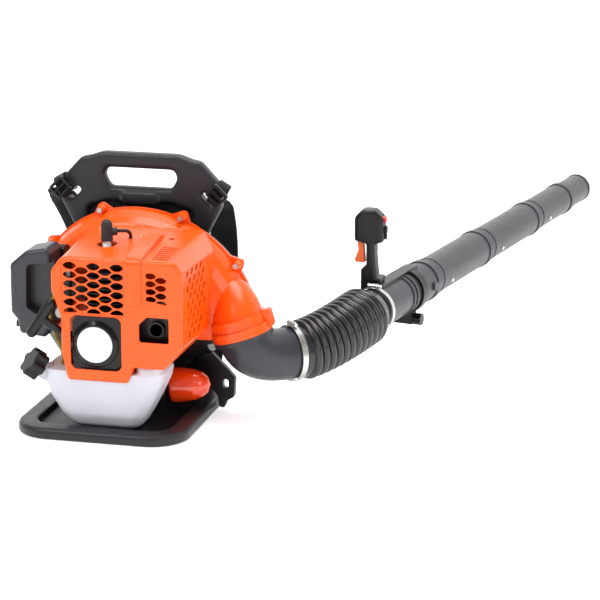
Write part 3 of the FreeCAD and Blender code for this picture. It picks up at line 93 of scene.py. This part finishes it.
class Shader:
    """A node material with short calls for the patterns that the surfaces share."""

    def __init__(self, name):
        self.material = bpy.data.materials.new(name)
        self.material.use_nodes = True
        self.tree = self.material.node_tree
        self.surface = self.tree.nodes["Principled BSDF"]
        self.place = self.tree.nodes.new("ShaderNodeTexCoord").outputs["Object"]

    def node(self, kind, **settings):
        made = self.tree.nodes.new("ShaderNode" + kind)
        for key, value in settings.items():
            setattr(made, key, value)
        return made

    def link(self, start, end):
        self.tree.links.new(start, end)

    def set(self, **values):
        fill(self.surface, **values)

    def noise(self, scale, detail, roughness=0.55):
        made = self.node("TexNoise")
        fill(made, Scale=scale, Detail=detail, Roughness=roughness)
        self.link(self.place, made.inputs["Vector"])
        return made.outputs["Fac"]

    def spread(self, value, out_low=0, out_high=1):
        """Stretches the middle of a noise value over a range."""
        made = self.node("MapRange")
        self.link(value, made.inputs["Value"])
        fill(made, From_Min=NOISE_LOW, From_Max=NOISE_HIGH, To_Min=out_low, To_Max=out_high)
        return made.outputs["Result"]

    def tint(self, factor, first, second):
        """Base colour that runs between two colours along factor."""
        made = self.node("Mix", data_type="RGBA")
        self.link(factor, made.inputs[0])
        made.inputs[6].default_value = (*first, 1)
        made.inputs[7].default_value = (*second, 1)
        self.link(made.outputs[2], self.surface.inputs["Base Color"])

    def gloss(self, roughness):
        """Lets a value drive the roughness."""
        self.link(roughness, self.surface.inputs["Roughness"])

    def bump(self, height, strength, distance, rounding=0.0):
        """Fine relief, with edges that catch the light as if rounded."""
        made = self.node("Bump")
        fill(made, Strength=strength, Distance=distance)
        self.link(height, made.inputs["Height"])
        if rounding:
            edge = self.node("Bevel", samples=4)
            fill(edge, Radius=rounding)
            self.link(edge.outputs["Normal"], made.inputs["Normal"])
        self.link(made.outputs["Normal"], self.surface.inputs["Normal"])


def darker(colour, share):
    return tuple(channel * share for channel in colour)


def moulded(name, colour, rough, grain, depth, rounding=0.0006, clouds=0.86, even=False, **finish):
    """Injection-moulded plastic: fine grain, faint clouds and, unless even, an uneven gloss."""
    shader = Shader(name)
    shader.tint(shader.spread(shader.noise(scale=22, detail=4)), darker(colour, clouds), colour)
    if even:
        shader.set(Roughness=rough)
    else:
        shader.gloss(shader.spread(shader.noise(scale=60, detail=5), rough * 0.88, rough * 1.14))
    shader.bump(shader.noise(grain, detail=2), strength=0.35, distance=depth, rounding=rounding)
    shader.set(**finish)
    return shader.material


def plain(name, colour, rough=0.4):
    """A plainer moulded plastic for the small parts."""
    return moulded(name, colour, rough, grain=1500, depth=0.00004, rounding=0.0005, clouds=0.92)


def metal(name, colour, rough, scale, stretch):
    """Bare metal with brush marks drawn out along one direction."""
    shader = Shader(name)
    mapping = shader.node("Mapping")
    fill(mapping, Scale=stretch)
    shader.link(shader.place, mapping.inputs["Vector"])
    texture = shader.node("TexNoise")
    fill(texture, Scale=scale, Detail=6)
    shader.link(mapping.outputs["Vector"], texture.inputs["Vector"])
    grain = texture.outputs["Fac"]
    shader.tint(shader.spread(grain), darker(colour, 0.78), colour)
    shader.gloss(shader.spread(grain, rough * 0.8, rough * 1.3))
    shader.bump(grain, strength=0.2, distance=0.00004, rounding=0.0004)
    shader.set(Metallic=1.0)
    return shader.material


def woven(name, colour, scale, depth, rough=0.85):
    """Woven cloth: two crossed wave patterns with a soft sheen."""
    shader = Shader(name)
    waves = []
    for direction in ("X", "Z"):
        wave = shader.node("TexWave", bands_direction=direction)
        fill(wave, Scale=scale, Distortion=0.4)
        shader.link(shader.place, wave.inputs["Vector"])
        waves.append(wave.outputs["Fac"])
    weave = shader.node("Math", operation="MULTIPLY")
    shader.link(waves[0], weave.inputs[0])
    shader.link(waves[1], weave.inputs[1])
    shader.tint(weave.outputs[0], darker(colour, 0.55), colour)
    shader.bump(weave.outputs[0], strength=0.6, distance=depth)
    shader.set(Roughness=rough, Sheen_Weight=0.08, Sheen_Roughness=0.5, Specular_IOR_Level=0.25)
    return shader.material


FINISHES = {
    "orange_shell": (moulded, dict(
        colour=ORANGE, rough=0.27, grain=700, depth=0.00003, rounding=0.0009, clouds=0.93,
        Coat_Weight=0.12, Coat_Roughness=0.10, Specular_IOR_Level=0.30)),
    "red_orange_cup": (moulded, dict(
        colour=RED_ORANGE, rough=0.16, grain=500, depth=0.00002, rounding=0.0008, clouds=0.9,
        Coat_Weight=0.6, Coat_Roughness=0.05)),
    "charcoal_plastic": (moulded, dict(
        colour=CHARCOAL, rough=0.40, grain=2600, depth=0.00008, rounding=0.0014,
        Specular_IOR_Level=0.36)),
    "graphite_plastic": (moulded, dict(
        colour=GRAPHITE, rough=0.36, grain=2200, depth=0.00006, rounding=0.0007,
        Specular_IOR_Level=0.42)),
    "black_plastic": (moulded, dict(
        colour=BLACK, rough=0.36, grain=2400, depth=0.00006, Specular_IOR_Level=0.34)),
    "black_gloss": (moulded, dict(
        colour=GLOSS_BLACK, rough=0.17, grain=500, depth=0.00002, rounding=0.0014,
        Coat_Weight=0.15, Coat_Roughness=0.05, Specular_IOR_Level=0.2)),
    "hose_rubber": (moulded, dict(
        colour=HOSE_BLACK, rough=0.27, grain=1500, depth=0.00006, rounding=0.0, even=True,
        Specular_IOR_Level=0.55)),
    "black_rubber": (moulded, dict(
        colour=RUBBER_BLACK, rough=0.62, grain=1900, depth=0.00010, rounding=0.0005)),
    "tank_white": (moulded, dict(
        colour=MILK, rough=0.34, grain=900, depth=0.00005, rounding=0.0014, clouds=0.94,
        Subsurface_Weight=0.35, Subsurface_Scale=0.012, Subsurface_Radius=(1.0, 1.0, 1.1))),
    "yellow_hose": (moulded, dict(
        colour=TUBING_YELLOW, rough=0.3, grain=900, depth=0.00003, rounding=0.0,
        Transmission_Weight=0.25, IOR=1.42)),
    "stainless": (metal, dict(colour=STEEL, rough=0.26, scale=300, stretch=(1, 1, 12))),
    "zinc_steel": (metal, dict(colour=ZINC, rough=0.35, scale=400, stretch=(1, 1, 3))),
    "cast_alloy": (metal, dict(colour=CAST, rough=0.55, scale=600, stretch=(1, 1, 1))),
    "muffler_steel": (metal, dict(colour=BURNT_STEEL, rough=0.42, scale=250, stretch=(1, 1, 2))),
    "orange_control": (plain, dict(colour=CONTROL_ORANGE, rough=0.3)),
    "red_switch": (plain, dict(colour=SWITCH_RED, rough=0.25)),
    "white_ceramic": (plain, dict(colour=CERAMIC, rough=0.15)),
    "clear_soft_plastic": (plain, dict(colour=CLEAR, rough=0.25)),
    "label_white": (plain, dict(colour=LABEL, rough=0.45)),
    "white_pin": (plain, dict(colour=PIN_WHITE)),
    "pulley_plastic": (plain, dict(colour=PULLEY, rough=0.5)),
    "filter_foam": (plain, dict(colour=FOAM_GREY, rough=0.95)),
    "black_cord": (woven, dict(colour=CORD_BLACK, scale=900, depth=0.0004)),
    "pad_fabric": (woven, dict(colour=PAD_BLACK, scale=420, depth=0.0005)),
    "black_webbing": (woven, dict(colour=WEB_BLACK, scale=520, depth=0.0005, rough=0.7)),
}
MATERIALS = {name: make(name, **values) for name, (make, values) in FINISHES.items()}


def dress_cad_nodes():
    """Every carried-over CAD node takes the finish of its material slot."""
    for part in frame["record"]["subparts"]:
        node = NODES[part["node"]]
        node.data.materials.clear()
        node.data.materials.append(MATERIALS[part["material_slot"]])


# Moulded parts with well-rounded edges: node, grid size and smoothing passes.
SOFT_EDGED = (("fuel_tank", 0.0020, 14), ("back_plate", 0.0024, 12), ("base_plate", 0.0024, 8),
              ("damper_cup", 0.0013, 14), ("control_handle", 0.0015, 14))


def soften(name, voxel, passes):
    """Rounds the moulded edges of one CAD node with modifiers; its own mesh stays as it is."""
    grid = NODES[name].modifiers.new("fine_grid", "REMESH")
    grid.mode = "VOXEL"
    grid.voxel_size = voxel
    grid.use_smooth_shade = True
    relax = NODES[name].modifiers.new("relax", "SMOOTH")
    relax.factor = 0.5
    relax.iterations = passes


# ---- mesh helpers --------------------------------------------------------------------------
def shade_smooth(mesh):
    mesh.polygons.foreach_set("use_smooth", [True] * len(mesh.polygons))


def add_piece(name, vertices, faces, material_slot, body=None):
    """A new piece from vertices and faces, in the row frame, riding on its body."""
    mesh = bpy.data.meshes.new(name)
    mesh.from_pydata([tuple(v) for v in vertices], [], faces)
    work = bmesh.new()
    work.from_mesh(mesh)
    bmesh.ops.recalc_face_normals(work, faces=work.faces)
    work.to_mesh(mesh)
    work.free()
    mesh.materials.append(MATERIALS[material_slot])
    shade_smooth(mesh)
    piece = bpy.data.objects.new(name, mesh)
    bpy.context.scene.collection.objects.link(piece)
    if body:
        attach(piece, body)
    return piece


def rings_mesh(rings, looped=False):
    """Skin over rings that all have the same number of points: capped, or looped end to end."""
    count = len(rings[0])
    vertices = [point for ring in rings for point in ring]
    faces = []
    spans = len(rings) if looped else len(rings) - 1
    for row in range(spans):
        here = row * count
        there = ((row + 1) % len(rings)) * count
        for k in range(count):
            after = (k + 1) % count
            faces.append((here + k, here + after, there + after, there + k))
    if not looped:
        faces.append(tuple(range(count))[::-1])
        faces.append(tuple(range((len(rings) - 1) * count, len(rings) * count)))
    return vertices, faces


def ring_about(centre, direction, radius, count):
    """Points round a centre, square to a direction; radius is a function of the angle."""
    side = direction.cross(Vector((0, 0, 1))).normalized()
    rise = side.cross(direction)
    ring = []
    for k in range(count):
        angle = 2 * math.pi * k / count
        reach = radius(angle)
        ring.append(centre + side * (reach * math.cos(angle)) + rise * (reach * math.sin(angle)))
    return ring


def eased(share):
    """Runs from 0 to 1 with a soft start and a soft end."""
    return share * share * (3 - 2 * share)


# ---- the bellows ---------------------------------------------------------------------------
HOSE_START = Vector((0.2696, 0.0976, 0.103))
HOSE_END = Vector((0.378, 0.291, 0.136))
HOSE_PULL = 0.215
ELBOW_HEADING = math.radians(45)
TUBE_HEADING = math.radians(79)
ELBOW_WAY = Vector((math.cos(ELBOW_HEADING), math.sin(ELBOW_HEADING), 0))
TUBE_WAY = Vector((math.cos(TUBE_HEADING), math.sin(TUBE_HEADING), 0))
HOSE_SIDES = 72
HOSE_WALL = 0.0024
# Shares of the hose's run: its ends inside the clamps, the split at its middle, its ribs and
# the end of its taper.
HOSE_FROM = 0.075
HOSE_SPLIT = 0.4950
HOSE_TO = 0.955
RIBS_FROM = 0.13
RIBS_TO = 0.86
TAPER_TO = 0.95
NEARBY = 0.005
RIB_COUNT = 12
RIB_STEPS = 12
NECK_STEPS = 20
NECK_RADIUS = 0.0475
NECK_TAPER = 0.0058
VALLEY_RADIUS = 0.0468
RIB_HEIGHT = 0.0076


def hose_point(t):
    lead = ELBOW_WAY * HOSE_PULL
    trail = TUBE_WAY * HOSE_PULL
    return (HOSE_START * (2 * t ** 3 - 3 * t ** 2 + 1) + lead * (t ** 3 - 2 * t ** 2 + t)
            + HOSE_END * (3 * t ** 2 - 2 * t ** 3) + trail * (t ** 3 - t ** 2))


def hose_ring(t, inset=0.0):
    """One ring of the hose's outer skin, or of its inner skin when inset by the wall."""
    way = (hose_point(t + NEARBY) - hose_point(t - NEARBY)).normalized()
    radius = hose_radius(t) - inset
    return ring_about(hose_point(t), way, lambda angle: radius, HOSE_SIDES)


def hose_radius(t):
    """Outside radius: twelve round ribs between two plain necks, the far one tapering."""
    if t < RIBS_FROM:
        return NECK_RADIUS
    if t > RIBS_TO:
        return NECK_RADIUS - NECK_TAPER * eased(min((t - RIBS_TO) / (TAPER_TO - RIBS_TO), 1.0))
    phase = (t - RIBS_FROM) / (RIBS_TO - RIBS_FROM) * RIB_COUNT
    ridge = math.sqrt(max(1 - (2 * (phase % 1) - 1) ** 2, 0.0))
    return VALLEY_RADIUS + RIB_HEIGHT * ridge


def hose_stations(first, last):
    """The same stations on every rib, so that all have one section, and close ones on the necks."""
    pitch = (RIBS_TO - RIBS_FROM) / RIB_COUNT
    stations = [RIBS_FROM * k / NECK_STEPS for k in range(NECK_STEPS)]
    for rib in range(RIB_COUNT):
        for step in range(RIB_STEPS):
            swing = 0.5 - 0.5 * math.cos(math.pi * step / RIB_STEPS)
            stations.append(RIBS_FROM + pitch * (rib + swing))
    stations += [RIBS_TO + (1 - RIBS_TO) * k / NECK_STEPS for k in range(NECK_STEPS + 1)]
    margin = 0.0001
    return [t for t in stations if first - margin < t < last + margin]


def bellows(name, first, last, replaced):
    """One length of the ribbed hose: outer skin, rolled ends and inner skin."""
    stations = hose_stations(first, last)
    outer = [hose_ring(t) for t in stations]
    inner = [hose_ring(t, HOSE_WALL) for t in reversed(stations)]
    piece = add_piece(name, *rings_mesh(outer + inner, looped=True), "hose_rubber")
    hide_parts(*replaced)
    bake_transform(piece)


def build_bellows():
    """Two lengths that meet in a valley between ribs."""
    bellows("bellows_lower", HOSE_FROM, HOSE_SPLIT, ["bellows_rear", "bellows_middle"])
    bellows("bellows_upper", HOSE_SPLIT, HOSE_TO, ["bellows_front"])


# ---- padded fabric -------------------------------------------------------------------------
INNER_PRESSURE = 4.0
FILLING_FRAMES = 20
FABRIC_MASS = 0.15
CLOTH_QUALITY = 6
CORNER_STEPS = 8


def evaluated_mesh(piece):
    graph = bpy.context.evaluated_depsgraph_get()
    return bpy.data.meshes.new_from_object(piece.evaluated_get(graph))


def gridded(piece, voxel):
    """Replaces the piece's mesh by an even grid of quads."""
    grid = piece.modifiers.new("grid", "REMESH")
    grid.mode = "VOXEL"
    grid.voxel_size = voxel
    piece.data = evaluated_mesh(piece)
    piece.modifiers.clear()


def puff(piece, reach, pinned):
    """Swells a closed piece by cloth simulation under inner pressure, by no more than reach.

    Points where pinned is true are its seams, and stay where they are.
    """
    seams = piece.vertex_groups.new(name="seams")
    held = [vertex.index for vertex in piece.data.vertices if pinned(vertex.co)]
    seams.add(held, 1.0, "REPLACE")
    start = [vertex.co.copy() for vertex in piece.data.vertices]
    cloth = piece.modifiers.new("filling", "CLOTH")
    cloth.settings.quality = CLOTH_QUALITY
    cloth.settings.mass = FABRIC_MASS
    cloth.settings.vertex_group_mass = "seams"
    cloth.settings.use_pressure = True
    cloth.settings.uniform_pressure_force = INNER_PRESSURE
    cloth.settings.effector_weights.gravity = 0.0
    for step in range(1, FILLING_FRAMES + 1):
        bpy.context.scene.frame_set(step)
    swollen = evaluated_mesh(piece)
    piece.modifiers.remove(cloth)
    bpy.context.scene.frame_set(1)
    for vertex, before, after in zip(piece.data.vertices, start, swollen.vertices):
        move = after.co - before
        if move.length > reach:
            move *= reach / move.length
        vertex.co = before + move
    bpy.data.meshes.remove(swollen)
    shade_smooth(piece.data)
    rounder = piece.modifiers.new("refine", "SUBSURF")
    rounder.levels = 1
    rounder.render_levels = 1


def rounded_ring(half_x, half_z, radius, centre_z, y):
    """Points round a rounded rectangle that stands at one Y."""
    points = []
    for corner, (sx, sz) in enumerate(((1, 1), (-1, 1), (-1, -1), (1, -1))):
        for step in range(CORNER_STEPS + 1):
            angle = math.pi / 2 * (corner + step / CORNER_STEPS)
            points.append(Vector((sx * (half_x - radius) + radius * math.cos(angle), y,
                                  centre_z + sz * (half_z - radius) + radius * math.sin(angle))))
    return points


# Half width, half height and Y of the cushion's section, from the plate outwards.
CUSHION_LEVELS = ((0.083, 0.130, 0.1424), (0.0865, 0.1335, 0.1450), (0.0865, 0.1335, 0.1520),
                  (0.0835, 0.1305, 0.1560))
CUSHION_CENTRE = 0.191
CUSHION_CORNER = 0.033
CHANNELS = (0.124, 0.191, 0.258)
CHANNEL_HALF = 0.0045
CHANNEL_DEPTH = 0.0055
STITCH_HALF = 0.0026
# The cushion is held up to the first Y, sewn down from the second and grooved from the third.
CUSHION_BACK = 0.1450
CUSHION_SEWN = 0.147
CUSHION_FACE = 0.150


def from_channel(point):
    """Height of a point above or below the nearest sewn line."""
    return min(abs(point.z - channel) for channel in CHANNELS)


def on_cushion_seam(point):
    """True on the side that lies on the plate and along the channels."""
    return point.y < CUSHION_BACK or (
        point.y > CUSHION_SEWN and from_channel(point) < STITCH_HALF)


def back_cushion():
    """The wearer's back pad: four sewn channels, flat where it lies on the plate."""
    rings = [rounded_ring(half_x, half_z, CUSHION_CORNER, CUSHION_CENTRE, y)
             for half_x, half_z, y in CUSHION_LEVELS]
    piece = add_piece("back_cushion", *rings_mesh(rings), "pad_fabric")
    gridded(piece, voxel=0.005)
    for vertex in piece.data.vertices:
        near = from_channel(vertex.co)
        if near < CHANNEL_HALF and vertex.co.y > CUSHION_FACE:
            vertex.co.y -= CHANNEL_DEPTH * (1 - near / CHANNEL_HALF)
    puff(piece, reach=0.0075, pinned=on_cushion_seam)
    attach(piece, "root")
    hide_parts("back_pad")


# Y and Z along a shoulder pad, from the back plate over the shoulder and down.
PAD_LINE = ((0.1500, 0.3620), (0.1745, 0.3530), (0.1945, 0.3370), (0.2060, 0.3160),
            (0.2150, 0.2950), (0.2210, 0.2700), (0.2222, 0.2450), (0.2215, 0.2200),
            (0.2165, 0.1975), (0.1980, 0.1500))
PAD_PLACE = {-1: (-0.171, math.radians(17)), 1: (0.123, 0.0)}
PAD_FOOT = {-1: -0.113, 1: 0.123}
PAD_SEAMS = (0.196, 0.241, 0.286, 0.331)
PAD_PIVOT_HEIGHT = 0.350
PAD_WIDTH = 0.052
PAD_THICKNESS = 0.0085
PAD_EDGE = 0.0225
PAD_STITCH_HALF = 0.0021
WEB_WIDTH = 0.025
WEB_THICKNESS = 0.0018
WEB_LIFT = Vector((0, 0.0052, 0.0022))
TAPER_LENGTH = 0.050
TAPER_START = 0.46


def through(points, steps):
    """A smooth run of points through the given ones."""
    line = [Vector(point) for point in points]
    line = [line[0] * 2 - line[1]] + line + [line[-1] * 2 - line[-2]]
    run = []
    for k in range(1, len(line) - 2):
        a, b, c, d = line[k - 1:k + 3]
        for step in range(steps):
            t = step / steps
            run.append(0.5 * (b * 2 + (c - a) * t + (a * 2 - b * 5 + c * 4 - d) * t ** 2
                              + (b * 3 - a - c * 3 + d) * t ** 3))
    run.append(line[-2])
    return run


def band_rings(run, across, full_width, thickness, tapered=False):
    """Rings of a flat band with rounded edges along a run of points; it may narrow at its start."""
    across = Vector(across).normalized()
    rings = []
    for k, point in enumerate(run):
        along = (run[min(k + 1, len(run) - 1)] - run[max(k - 1, 0)]).normalized()
        out = along.cross(across).normalized()
        share = min((point - run[0]).length / TAPER_LENGTH, 1.0) if tapered else 1.0
        width = full_width * (TAPER_START + (1 - TAPER_START) * eased(share))
        edge = min(thickness * 0.5, width * 0.2)
        lift = edge * 0.99
        ring = []
        for sx, sy in ((1, 1), (-1, 1), (-1, -1), (1, -1)):
            turn = math.atan2(sy, sx) - math.pi / 4
            for step in range(4):
                angle = turn + math.pi / 6 * step
                ring.append(point + across * (sx * (width / 2 - edge) + edge * math.cos(angle))
                            + out * (sy * (thickness / 2 - lift) + lift * math.sin(angle)))
        rings.append(ring)
    return rings


def leaned(piece, side):
    """Turns a pad about its upper end, as it hangs."""
    place, lean = PAD_PLACE[side]
    pivot = Vector((place, 0, PAD_PIVOT_HEIGHT))
    turn = Matrix.Translation(pivot) @ Matrix.Rotation(-lean, 4, "Y") @ Matrix.Translation(-pivot)
    piece.data.transform(turn)


def on_pad_seam(point, place):
    """True at a pad's sewn edges and along its cross seams."""
    return (abs(point.x - place) > PAD_EDGE
            or min(abs(point.z - seam) for seam in PAD_SEAMS) < PAD_STITCH_HALF)


def shoulder_straps():
    """Two padded straps, each with a flat web sewn down its outer face."""
    for side, label in SIDES:
        place = PAD_PLACE[side][0]
        run = through([(place, y, z) for y, z in PAD_LINE], steps=6)
        rings = band_rings(run, ACROSS, PAD_WIDTH, PAD_THICKNESS, tapered=True)
        piece = add_piece("shoulder_strap_" + label, *rings_mesh(rings), "pad_fabric")
        gridded(piece, voxel=0.004)
        puff(piece, reach=0.0026, pinned=lambda point: on_pad_seam(point, place))
        leaned(piece, side)
        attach(piece, "root")
        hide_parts("shoulder_pad_" + label)
        outer = [point + WEB_LIFT for point in run[3:-4]]
        rings = band_rings(outer, ACROSS, WEB_WIDTH, WEB_THICKNESS)
        web = add_piece("strap_web_" + label, *rings_mesh(rings), "black_webbing")
        leaned(web, side)
        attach(web, "root")


# ---- flat webbing --------------------------------------------------------------------------
# Y and Z of a lower web, from the pad's foot to the base.
LOWER_LINE = ((0.1995, 0.156), (0.190, 0.129), (0.1765, 0.097), (0.161, 0.066), (0.1500, 0.044))
# The loop round an upper corner of the plate, on the right; the left one mirrors it.
CORNER_LINE = ((0.131, 0.1118, 0.3600), (0.138, 0.1118, 0.3715), (0.1455, 0.1120, 0.3840),
               (0.1505, 0.1170, 0.3915), (0.1520, 0.1290, 0.3940), (0.1505, 0.1405, 0.3915),
               (0.1455, 0.1450, 0.3840), (0.1400, 0.1470, 0.3730), (0.1360, 0.1500, 0.3620))


def web_band(name, points, across, width, thickness):
    """Flat webbing along a smooth path."""
    rings = band_rings(through(points, steps=8), across, width, thickness)
    return add_piece(name, *rings_mesh(rings), "black_webbing", "root")


def straps():
    """The lower adjusting webs and the loops round the plate's upper corners."""
    for side, label in SIDES:
        lower = web_band("lower_web_" + label, [(PAD_FOOT[side], y, z) for y, z in LOWER_LINE],
                         ACROSS, width=0.024, thickness=0.0022)
        loop = web_band("corner_web_" + label, [(side * x, y, z) for x, y, z in CORNER_LINE],
                        (side * 0.866, 0, -0.5), width=0.022, thickness=0.0020)
        if side > 0:
            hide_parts("webbing")
            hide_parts("webbing")


# ---- starter rope --------------------------------------------------------------------------
PULL_WAY = Vector((-0.77, -0.25, 0.59)).normalized()
ROPE_EXIT = Vector((-0.053, -0.129, 0.174))
ROPE_FROM = 0.001
ROPE_TO = 0.056
ROPE_STEPS = 90
ROPE_SIDES = 24
ROPE_RADIUS = 0.00165
STRAND_HEIGHT = 0.00025
STRAND_TWIST = 0.35


def strand_radius(step):
    """Radius round the rope at one step of its length, with three strands that twist."""
    return lambda angle: ROPE_RADIUS + STRAND_HEIGHT * abs(
        math.cos(1.5 * angle + step * STRAND_TWIST))


def starter_rope():
    """Three-strand cord that runs out of the recoil housing towards the grip."""
    first = ROPE_EXIT + PULL_WAY * ROPE_FROM
    last = ROPE_EXIT + PULL_WAY * ROPE_TO
    rings = [ring_about(first.lerp(last, step / ROPE_STEPS), PULL_WAY, strand_radius(step),
                        ROPE_SIDES) for step in range(ROPE_STEPS + 1)]
    piece = add_piece("starter_rope_cord", *rings_mesh(rings), "black_cord")
    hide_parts("starter_rope")
    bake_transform(piece)


# ---- studio --------------------------------------------------------------------------------
WHITE = (1.0, 1.0, 1.0, 1.0)
STAGE_SPAN = 40
STAGE_BACK = 14
STAGE_HEIGHT = 30
WORLD_LIGHT = 0.42
LAMP_AIM = Vector((0.15, 0.1, 0.2))


def white_sheet(name, corners, emission):
    """A large white stage surface that lights itself a little, so that it stays clean."""
    mesh = bpy.data.meshes.new(name)
    mesh.from_pydata(corners, [], [(0, 1, 2, 3)])
    sheet = bpy.data.objects.new(name, mesh)
    bpy.context.scene.collection.objects.link(sheet)
    shader = Shader(name + "_paint")
    paint = shader.spread(shader.noise(scale=1.5, detail=2))
    shader.tint(paint, (0.87, 0.87, 0.875), (0.90, 0.90, 0.90))
    shader.set(Roughness=0.9, Specular_IOR_Level=0.1,
               Emission_Color=WHITE, Emission_Strength=emission)
    mesh.materials.append(shader.material)


def soft_box(name, place, size, power):
    """A square area light, aimed at the machine."""
    light = bpy.data.lights.new(name, "AREA")
    light.shape = "SQUARE"
    light.size = size
    light.energy = power
    lamp = bpy.data.objects.new(name, light)
    bpy.context.scene.collection.objects.link(lamp)
    lamp.location = place
    lamp.rotation_euler = (LAMP_AIM - Vector(place)).to_track_quat("-Z", "Y").to_euler()


def studio():
    """White floor and backdrop, dim surroundings and three large soft boxes."""
    span, back, top = STAGE_SPAN, STAGE_BACK, STAGE_HEIGHT
    white_sheet("floor", emission=0.55, corners=[
        (-span, -span, 0), (span, -span, 0), (span, back, 0), (-span, back, 0)])
    white_sheet("backdrop", emission=0.85, corners=[
        (-span, back, 0), (span, back, 0), (span, back, top), (-span, back, top)])
    world = bpy.data.worlds.new("studio")
    world.use_nodes = True
    fill(world.node_tree.nodes["Background"], Color=WHITE, Strength=WORLD_LIGHT)
    bpy.context.scene.world = world
    soft_box("key", (-1.5, -2.2, 2.8), size=1.5, power=66)
    soft_box("fill", (2.8, -2.0, 1.4), size=1.8, power=34)
    soft_box("top", (0.2, 0.4, 3.2), size=1.8, power=80)


CAMERA_AZIMUTH = math.radians(14.0)
CAMERA_ELEVATION = math.radians(15.0)
CAMERA_DISTANCE = 4.43
CAMERA_TARGET = Vector((0.2866, 0.1266, 0.1935))
CAMERA_LENS = 151.9
SENSOR_WIDTH = 36.0


def camera():
    """The main view: from the front, a little to the right and above."""
    level = math.cos(CAMERA_ELEVATION)
    back = Vector((math.sin(CAMERA_AZIMUTH) * level, -math.cos(CAMERA_AZIMUTH) * level,
                   math.sin(CAMERA_ELEVATION)))
    data = bpy.data.cameras.new("camera")
    data.lens = CAMERA_LENS
    data.sensor_width = SENSOR_WIDTH
    made = bpy.data.objects.new("camera", data)
    bpy.context.scene.collection.objects.link(made)
    made.location = CAMERA_TARGET + back * CAMERA_DISTANCE
    made.rotation_euler = (-back).to_track_quat("-Z", "Y").to_euler()
    bpy.context.scene.camera = made


dress_cad_nodes()
for node_name, voxel_size, smoothing_passes in SOFT_EDGED:
    soften(node_name, voxel_size, smoothing_passes)
build_bellows()
back_cushion()
shoulder_straps()
straps()
starter_rope()
studio()
camera()
bpy.context.scene.view_settings.view_transform = "Standard"
